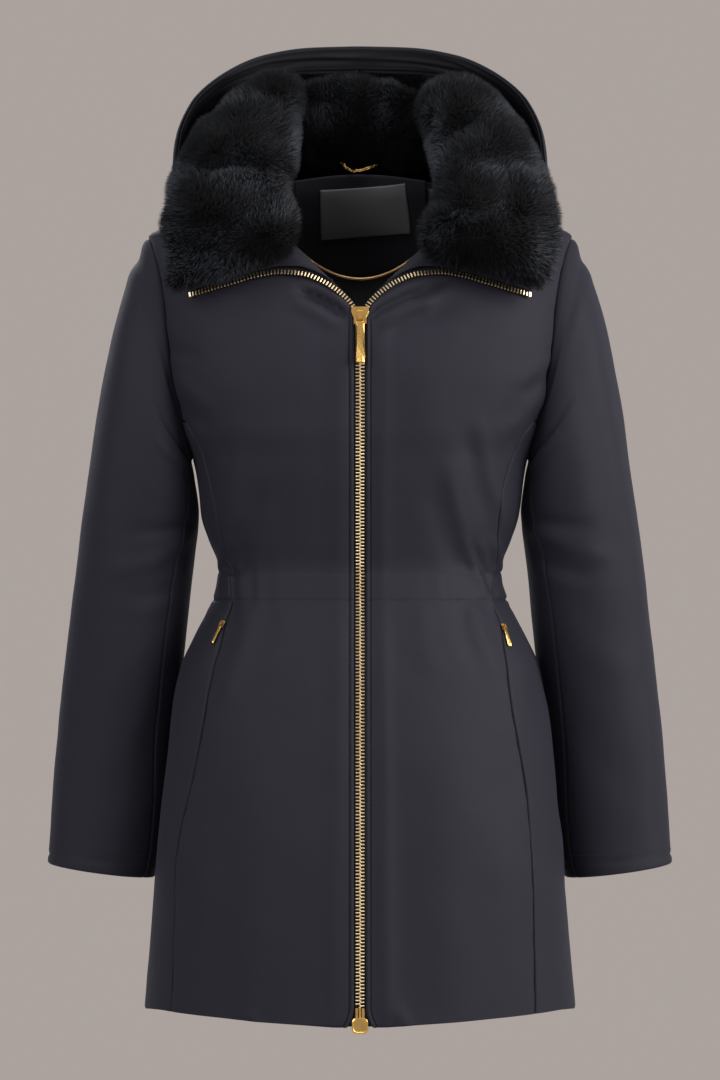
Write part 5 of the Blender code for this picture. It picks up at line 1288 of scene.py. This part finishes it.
def set_out_tree():
    """One small piece repeated at points, turned to each point's own two directions."""
    tree, given, made = group_with("set_out", (
        ("Geometry", "Geometry"), ("Piece", "Object"), ("Finish", "Material"), ("Size", "Vector"),
    ), (("Geometry", "Geometry"),), "Geometry")
    turns = []
    for label, axis, pivot in (("along", "X", "AUTO"), ("outward", "Z", "X")):
        stored = add(tree, "GeometryNodeInputNamedAttribute", data_type="FLOAT_VECTOR", Name=label)
        turns.append(add(tree, "FunctionNodeAlignRotationToVector", axis=axis, pivot_axis=pivot))
        wire(tree, (stored.outputs[0], turns[-1].inputs["Vector"]))
    piece, place = add(tree, "GeometryNodeObjectInfo"), add(tree, "GeometryNodeInstanceOnPoints")
    real, paint = add(tree, "GeometryNodeRealizeInstances"), add(tree, "GeometryNodeSetMaterial")
    wire(
        tree, (turns[0].outputs[0], turns[1].inputs["Rotation"]),
        (given.outputs["Geometry"], place.inputs["Points"]), (given.outputs["Piece"], piece.inputs[0]),
        (piece.outputs["Geometry"], place.inputs["Instance"]), (turns[1].outputs[0], place.inputs["Rotation"]),
        (given.outputs["Size"], place.inputs["Scale"]), (place.outputs[0], real.inputs[0]),
        (real.outputs[0], paint.inputs["Geometry"]), (given.outputs["Finish"], paint.inputs["Material"]),
        (paint.outputs[0], made.inputs[0]),
    )
    return tree


def bevelled_blocks(name, blocks, bevel):
    """Small blocks with their edges taken off, in millimetres: x is across, y along and z out."""
    shape = bmesh.new()
    for across, along, thick, shift in blocks:
        made = bmesh.ops.create_cube(shape, size=1.0)["verts"]
        bmesh.ops.scale(shape, verts=made, vec=(across, along, thick))
        bmesh.ops.translate(shape, verts=made, vec=(shift, 0, 0))
    bmesh.ops.bevel(shape, geom=shape.edges[:], offset=bevel, segments=1, affect="EDGES")
    made = from_bmesh(name, shape)
    made.data.transform(Matrix.Scale(MM, 4))
    return made


def repeated(name, points, along, out, piece, finish, size=(1.0, 1.0, 1.0)):
    """Copies of a piece at these points (in millimetres), as one plain mesh."""
    mesh = bpy.data.meshes.new(name + "_points")
    mesh.from_pydata((np.asarray(points) * MM).tolist(), [], [])
    for label, vectors in (("along", along), ("outward", out)):
        stored = mesh.attributes.new(label, "FLOAT_VECTOR", "POINT")
        stored.data.foreach_set("vector", np.asarray(vectors, np.float32).ravel())
    ground = placed(name + "_points", mesh)
    made = grown(name, ground, set_out, {"Piece": piece, "Finish": finish, "Size": size})
    made.data.polygons.foreach_set("material_index", [0] * len(made.data.polygons))
    made.data.materials.clear()
    made.data.materials.append(finish)
    return made


def merged(name, parts, finish):
    """Several finished meshes as one piece."""
    shape = bmesh.new()
    for part in parts:
        shape.from_mesh(part.data)
        bpy.data.objects.remove(part, do_unlink=True)
    return from_bmesh(name, shape, finish)


def teeth_path(sign, closed):
    """Points along the teeth's middle and the way out of the cloth at each."""
    if closed:
        spots = [(2.25, height, 0.0) for height in np.linspace(CHAIN_END_Z, SLIDER_Z - 9, 90)]
    else:
        spots = [read_row(TEETH, at) for at in np.linspace(7, TEETH[-1, 0], 64)]
    middle = np.array([on_front(out, height, sign, proud - TEETH_SINK) for out, height, proud in spots])
    out = np.array([on_front(out, height, sign, 1.0) - on_front(out, height, sign, 0.0)
                    for out, height, _ in spots])
    return middle, out


def evenly(middle, out, pitch, offset):
    """Even steps along a path, with the direction of the path and the way out at each."""
    lengths = lengths_along(middle)
    marks = np.arange(offset, lengths[-1], pitch)
    places, direction, facing = (read_at(marks, lengths, data)
                                 for data in (middle, np.gradient(middle, lengths, axis=0), out))
    return places, unit(direction), unit(facing)


burnish = burnish_group()
set_out = set_out_tree()
plated_gold = plated("plated_gold", GOLD, GOLD_DEEP, 0.14)
tape_cloth = cloth_finish("zip_ribbon", TAPE_LIGHT, TAPE_DARK, 1500.0, 0.5, 0.66, 0.1, (0.6, 0.6, 0.7))
pale_gold = plated("pale_gold", PALE_GOLD, PALE_GOLD_DEEP, 0.16)
tooth = bevelled_blocks("tooth", TOOTH_BLOCKS, TOOTH_ROUND)
open_tooth = bevelled_blocks("open_tooth", OPEN_TOOTH_BLOCKS, TOOTH_ROUND)
stop = bevelled_blocks("stop", STOP_BLOCKS, STOP_ROUND)
for side, sign in SIDES.items():
    offset = FIRST_TOOTH if side == "left" else FIRST_TOOTH + TOOTH_PITCH / 2
    places, direction, facing = evenly(*teeth_path(sign, True), TOOTH_PITCH, offset)
    across = np.cross(direction, facing)
    across *= np.sign(across[:, :1] * sign)
    closed_part = repeated("teeth_closed", places, across, facing, tooth, pale_gold)
    places, direction, facing = evenly(*teeth_path(sign, False), TOOTH_PITCH, FIRST_TOOTH)
    across = np.cross(direction, facing)
    open_part = repeated("teeth_open", places[:-1], across[:-1], facing[:-1], open_tooth, pale_gold)
    end_part = repeated("teeth_stop", places[-1:], across[-1:], facing[-1:], stop, pale_gold)
    teeth = merged(f"zip_teeth_{side}_metal", (closed_part, open_part, end_part), pale_gold)
    dressed(teeth, "gold_metal", f"zip_teeth_{side}")
    depths = np.interp(TAPE_COLUMNS, *TAPE_DEPTHS)
    grid = np.array([[on_front(x, height, sign, depth) for x, depth in zip(TAPE_COLUMNS, depths)]
                     for height in np.linspace(TAPE_END_Z, TAPE_TOP_Z, 150)])
    from_middle, _ = edge_distances(grid)
    lift = valley(from_middle - 5.0, 0.25, 0.5) + valley(from_middle - 7.4, 0.2, 0.4)
    sewn_panel(f"zip_tape_{side}_ribbon", grid, lift, [f"zip_tape_{side}"],
               flip=side == "right", wall=TAPE_WALL, cloths=(tape_cloth,) * 4,
               slot="zip_ribbon")
    # The tape beside the open teeth widens from its lower end on.
    places, direction, facing = evenly(*teeth_path(sign, False), TAPE_STEP, 0.0)
    inward = np.cross(facing, direction) * sign
    wide = 4.5 + 6.5 * np.clip(np.linspace(0, 1, len(places))[:, None] * 3 - 0.4, 0, 1)
    grid = np.stack([places + (-1.7 + t * wide) * inward - (0.3 + 0.6 * t) * facing
                     for t in np.linspace(0, 1, 7)], axis=1)
    sewn_panel(f"lapel_tape_{side}_ribbon", grid, np.zeros(grid.shape[:2]), [],
               flip=side == "right", wall=LAPEL_TAPE_WALL,
               cloths=(tape_cloth,) * 4, slot="zip_ribbon")
for used in (tooth, open_tooth, stop):
    bpy.data.objects.remove(used, do_unlink=True)
for node in ("zip_slider", "zip_pull", "pocket_slider_left", "pocket_slider_right", "pocket_pull_left",
             "pocket_pull_right"):
    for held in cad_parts[node].material_slots:
        held.material = plated_gold

# ---------------------------------------------------------------- the box
# At the zip's lower end the box is one casting: a body with a sunk face and a thin rim, and three
# fingers on it that hold the pin and the ends of the two rows of teeth.
BOX_Z, BOX_HALF, BOX_LOW, BOX_HIGH, BOX_ROUND = -773.0, 8.0, -15.0, 0.8, 4.6
FINGER_APART, FINGER_ROUND = 3.1, 0.6


def seat(origin, up, out):
    """The matrix of a small hard part: x across, y up along the zip, z out of the cloth."""
    up = unit(np.asarray(up))
    across = unit(np.cross(up, out))
    out = np.cross(across, up)
    rows = [(float(across[i]), float(up[i]), float(out[i]), float(origin[i]) * MM) for i in range(3)]
    return Matrix(rows + [(0, 0, 0, 1)])


def rounded_outline(half_wide, low, high, radius, steps=6):
    """A rectangle's outline with round corners, going counter-clockwise from its lower right."""
    points = []
    for x, y, start in ((half_wide - radius, low + radius, -90), (half_wide - radius, high - radius, 0),
                        (radius - half_wide, high - radius, 90), (radius - half_wide, low + radius, 180)):
        for k in range(steps + 1):
            angle = math.radians(start + 90 * k / steps)
            points.append((x + radius * math.cos(angle), y + radius * math.sin(angle)))
    return points


def skinned(shape, rings, closed=False):
    """Adds the faces between rings of vertices: the last ring meets the first, or both ends are capped."""
    count = len(rings[0])
    for one_ring, next_ring in zip(rings, rings[1:] + rings[:1] if closed else rings[1:]):
        for j in range(count):
            shape.faces.new((one_ring[j], one_ring[(j + 1) % count], next_ring[(j + 1) % count], next_ring[j]))
    if not closed:
        shape.faces.new(rings[0][::-1])
        shape.faces.new(rings[-1])


def cast_plate(shape, outline, low, high, edge, dish=0.0):
    """Adds a plate with a rounded top edge to a bmesh; `dish` sinks its face inside a thin rim."""
    outline = np.array(outline)
    middle = (outline.max(axis=0) + outline.min(axis=0)) / 2
    half = (outline.max(axis=0) - outline.min(axis=0)) / 2
    levels = [(0.0, low), (0.0, high - edge), (0.3 * edge, high - 0.3 * edge), (edge, high)]
    if dish:
        levels += [(edge + 0.5, high), (edge + 0.9, high - dish)]
    rings = []
    for inset, out in levels:
        shrunk = middle + (outline - middle) * (1 - inset / half)
        rings.append([shape.verts.new((x, y, out)) for x, y in shrunk])
    skinned(shape, rings)


# each plate: its outline, from and up to which height, its edge's rounding, how deep its face is sunk
box_plates = [
    (rounded_outline(BOX_HALF, BOX_LOW, BOX_HIGH, BOX_ROUND), -3.2, 0.9, 1.2, 0.35),
    (rounded_outline(1.15, 0.2, 11.0, FINGER_ROUND, 2), -2.6, 0.2, 0.4),
]
for sign in (-1, 1):
    finger = rounded_outline(1.25, 0.2, 9.6, FINGER_ROUND, 2)
    box_plates.append(([(x + sign * FINGER_APART, y) for x, y in finger], -2.8, 0.0, 0.4))
shape = bmesh.new()
for plate in box_plates:
    cast_plate(shape, *plate)
bmesh.ops.recalc_face_normals(shape, faces=shape.faces)
bmesh.ops.scale(shape, verts=shape.verts, vec=(MM, MM, MM))
slope = level(BOX_Z + 9, np.zeros(1))[0] - level(HEM_Z, np.zeros(1))[0]
where = seat(level(BOX_Z, np.zeros(1))[0], slope, (0.0, -slope[2], slope[1]))
bmesh.ops.transform(shape, verts=shape.verts, matrix=where)
dressed(from_bmesh("zip_box_cast", shape, plated_gold), "gold_metal", "zip_box")

# ---------------------------------------------------------------- the neck
# Inside the neck a half-moon facing covers the seam, edged with a round piping in copper foil
# cloth. A blank satin label is sewn to it, and a fine chain hangs above to hold the coat by.
FACING_HALF, PIPING_LOW_Z, PIPING_RISE, PIPING_RADIUS, PIPING_HALF = 70.0, -46.4, 29.2, 1.5, 76.0
FACING_DEPTH, LABEL_DEPTH, PIPING_DEPTH = 4.7, 6.4, 6.2  # how far inside the back's outer face
FACING_WALL, LABEL_WALL = 0.9, 0.5
LABEL_SIZE, LABEL_CENTRE, LABEL_TILT = (93.0, 49.0), (4.5, 20.0), 4.0
SATIN_LIGHT, SATIN_DARK = (0.1150, 0.1150, 0.1150), (0.0700, 0.0700, 0.0700)
COPPER, COPPER_DEEP = (1.0, 0.62, 0.32), (0.75, 0.40, 0.17)
HANGER = np.array(((-18, 70), (-13, 64), (-7, 61), (0, 61.5), (8, 64), (17, 68)))
LINK_WIRE, LINK_PITCH, LINK_POINTS, HANGER_POINTS = 0.46, 3.9, 20, 60


def on_back(across, height, depth=0.0):
    """The point of the back this far across, moved into the coat by `depth`."""
    half_width, _, back_depth, squareness = section(height)
    share = min(0.999, abs(across) / half_width)
    y = back_depth * (1 - share**squareness) ** (1 / squareness)
    slope = back_depth * share ** (squareness - 1) / half_width / (y / back_depth) ** (squareness - 1)
    normal = np.array((math.copysign(slope, across), 1.0, 0.0))
    return np.array((across, y, height)) - depth * normal / np.linalg.norm(normal)


def piping_height(across):
    return PIPING_LOW_Z + PIPING_RISE * (across / 64) ** 2


def round_tube(name, path, first, second, reaches, sides, finish=None, closed=False):
    """A round tube along a line of points, each with two directions across the line and its radius."""
    shape = bmesh.new()
    rings = []
    for point, one_way, other_way, reach in zip(path, first, second, reaches):
        rings.append([shape.verts.new((point + reach * (math.cos(a) * one_way + math.sin(a) * other_way)) * MM)
                      for a in np.arange(sides) * 2 * math.pi / sides])
    skinned(shape, rings, closed)
    bmesh.ops.recalc_face_normals(shape, faces=shape.faces)
    return from_bmesh(name, shape, finish, rounded=True)


label_cloth = cloth_finish("label_satin", SATIN_LIGHT, SATIN_DARK, 2400.0, 0.12, 0.26, 0.1, (0.8, 0.8, 0.78))
copper_cloth = plated("copper_foil_cloth", COPPER, COPPER_DEEP, 0.24, metallic=0.75, fine=1500.0)
rows = []
for across in np.linspace(-FACING_HALF, FACING_HALF, 60):
    low, high = piping_height(across) + 1.4, NECK_SIDE_Z + 20.0 * (1 - (across / 98) ** 2)
    rows.append([on_back(across, height, FACING_DEPTH) for height in np.linspace(low, high, 34)])
grid = np.array(rows)
lift = 0.7 * unevenness(grid, 34, 91) + 0.2 * unevenness(grid, 14, 92)
sewn_panel("back_neck_facing_cloth", grid, lift, ["back_neck_facing"],
           flip=faces_back(grid, 30, 17), wall=FACING_WALL, cloths=(facing_and_shade_cloth,) * 4, slot="lining_cloth")

tilt = math.radians(LABEL_TILT)
grid = np.array([[on_back(LABEL_CENTRE[0] + u * math.cos(tilt) - v * math.sin(tilt),
                          LABEL_CENTRE[1] + u * math.sin(tilt) + v * math.cos(tilt), LABEL_DEPTH)
                  for v in np.linspace(-LABEL_SIZE[1] / 2, LABEL_SIZE[1] / 2, 26)]
                 for u in np.linspace(-LABEL_SIZE[0] / 2, LABEL_SIZE[0] / 2, 46)])
u_share, v_share = np.meshgrid(np.linspace(-1, 1, 46), np.linspace(-1, 1, 26), indexing="ij")
lift = 0.8 * (1 - u_share**2) * (1 - v_share**4) + 0.35 * unevenness(grid, 26, 95)
lift += 0.35 * (np.abs(u_share) > 0.86) - 0.5 * (np.abs(u_share) > 0.985)
sewn_panel("neck_label_satin", grid, lift, ["neck_label"],
           flip=faces_back(grid, 20, 12), wall=LABEL_WALL, cloths=(label_cloth,) * 4,
           slot="label_satin")

path = np.array([on_back(across, piping_height(across), PIPING_DEPTH)
                 for across in np.linspace(-PIPING_HALF, PIPING_HALF, 120)])
tangent = unit(np.gradient(path, axis=0))
first = unit(np.cross(tangent, np.array((0.0, 1.0, 0.0))))
reaches = PIPING_RADIUS * (1 + 0.03 * np.sin(np.arange(len(path)) * 1.9))
reaches[[0, -1]] *= 0.55
piping = round_tube("neck_piping_cord", path, first, np.cross(tangent, first), reaches, 12, copper_cloth)
dressed(piping, "copper_piping", "neck_piping")

oval = []
for a in np.linspace(0, 2 * math.pi, LINK_POINTS + 1)[:-1]:
    straight = math.copysign(min(abs(math.cos(a)) * 3, 1), math.cos(a))
    oval.append((2.3 * math.cos(a) + 0.5 * straight, 1.25 * math.sin(a), 0))
oval = np.array(oval)
ahead = np.roll(oval, -1, axis=0) - np.roll(oval, 1, axis=0)
beside = unit(np.stack((ahead[:, 1], -ahead[:, 0], 0 * ahead[:, 0]), axis=1))
upward = np.tile((0.0, 0.0, 1.0), (LINK_POINTS, 1))
link = round_tube("link", oval, beside, upward, np.full(LINK_POINTS, LINK_WIRE), 6, closed=True)
knots = np.array([(x, 66.0 + 11.3 * (x / 18) ** 2, z) for x, z in HANGER])
stacked = np.column_stack((np.linspace(0, 1, len(knots)), knots))
path = np.stack([smooth(stacked, k, np.linspace(0, 1, HANGER_POINTS)) for k in (1, 2, 3)], axis=1)
places, direction, facing = evenly(path, np.tile((0.0, -0.25, 1.0), (HANGER_POINTS, 1)), LINK_PITCH, 1.6)
turned = unit(np.cross(direction, facing))
even = (np.arange(len(places)) % 2 == 0)[:, None]
across = np.where(even, facing * 0.8 + turned * 0.6, turned * 0.8 - facing * 0.6)
chain = repeated("hanger_chain_links", places, direction, across, link, plated_gold)
dressed(chain, "gold_metal", "hanger_chain")
bpy.data.objects.remove(link, do_unlink=True)

# ---------------------------------------------------------------- the stitching
# Lockstitch in a thread near the shell's own colour: two rows on the waist channel, one round
# each cuff, along the zip's edges, the lapels and the hood's brim.
STITCH_LONG, STITCH_WIDE, STITCH_DEEP, STITCH_PITCH, STITCH_LIFT = 2.5, 0.62, 0.62 * 0.8, 3.3, 0.12
THREAD_LIGHT, THREAD_DARK = (0.0150, 0.0140, 0.0200), (0.0070, 0.0065, 0.0100)
BRIM_STITCH, PLACKET_STITCH_TOP_Z = 1.6, -102.0
CUFF_INNER_X, CUFF_ACROSS = 208.0, 107.0  # where a cuff begins on its inner side, and how far it reaches out


def thread_finish():
    made, tree, shader = new_finish("sewing_thread")
    ply = speckle(tree, add(tree, "ShaderNodeTexCoord").outputs["Object"], Scale=900.0)
    wire(tree, (mixed_colour(tree, ply.outputs[0], THREAD_DARK, THREAD_LIGHT), shader.inputs["Base Color"]))
    set_on(shader, Roughness=0.48)
    return made


def stitch_piece():
    """One stitch: a six-sided spindle lying along x, one unit long."""
    ring = [(0.0, 0.5 * math.cos(k * math.pi / 3), 0.5 * math.sin(k * math.pi / 3)) for k in range(6)]
    mesh = bpy.data.meshes.new("stitch")
    mesh.from_pydata(ring + [(-0.5, 0, 0), (0.5, 0, 0)], [],
                     [((k + 1) % 6, k, 6) for k in range(6)] + [(k, (k + 1) % 6, 7) for k in range(6)])
    mesh.shade_smooth()
    return placed("stitch", mesh)


def along_column(name, distance, below=math.inf):
    """A line up a panel at a distance from its first edge or, if that is negative, from its last."""
    line, ways = [], []
    shaped, normals = panels[name]
    for row, out, lengths in zip(shaped, normals, edge_distances(shaped)[0]):
        at = [distance if distance >= 0 else lengths[-1] + distance]
        point = read_at(at, lengths, row)[0]
        if point[2] < below:
            line.append(point)
            ways.append(read_at(at, lengths, out)[0])
    return np.array(line), np.array(ways)


def along_row(name, height_at):
    """A line across a panel at a height."""
    shaped, normals = panels[name]
    row = int(np.argmin(np.abs(shaped[:, shaped.shape[1] // 2, 2] - height_at)))
    return shaped[row], normals[row]


def round_cuff(name):
    """A line across a sleeve's panel where the hem of its cuff is sewn down: deeper on the inner side."""
    line, ways = [], []
    shaped, normals = panels[name]
    for column in range(shaped.shape[1]):
        inner = 1 - np.clip((abs(shaped[0, column, 0]) - CUFF_INNER_X) / CUFF_ACROSS, 0, 1)
        at, up = [CUFF_SHALLOW + (CUFF_DEEP - CUFF_SHALLOW) * inner], lengths_along(shaped[:, column])
        line.append(read_at(at, up, shaped[:, column])[0])
        ways.append(read_at(at, up, normals[:, column])[0])
    return np.array(line), np.array(ways)


sewing_thread = thread_finish()
stitch = stitch_piece()
seams = [along_row(name + "_cloth", row)
         for name in ("front_centre_left", "front_centre_right", "front_side_left", "front_side_right", "back")
         for row in CHANNEL_ROWS]
for side in SIDES:
    seams.append(along_column(f"front_centre_{side}_cloth", PLACKET_STITCH, PLACKET_STITCH_TOP_Z))
    seams.append(along_column(f"lapel_{side}_cloth", -LAPEL_STITCH))
    seams.append(along_column(f"hood_{side}_cloth", -BRIM_WIDTH))
    seams += [round_cuff(f"sleeve_{part}_{side}_cloth") for part in ("top", "under")]
seams.append(along_column("hood_brim_cloth", -BRIM_STITCH))
points, directions, ways = [], [], []
for line, normals in seams:
    places, direction, facing = evenly(line, normals, STITCH_PITCH, STITCH_PITCH / 2)
    points.append(places + STITCH_LIFT * facing)
    directions.append(direction)
    ways.append(facing)
stitches = repeated("stitching", np.concatenate(points), np.concatenate(directions), np.concatenate(ways),
                    stitch, sewing_thread, (STITCH_LONG * MM, STITCH_WIDE * MM, STITCH_DEEP * MM))
dressed(stitches, "shell_cloth")
bpy.data.objects.remove(stitch, do_unlink=True)
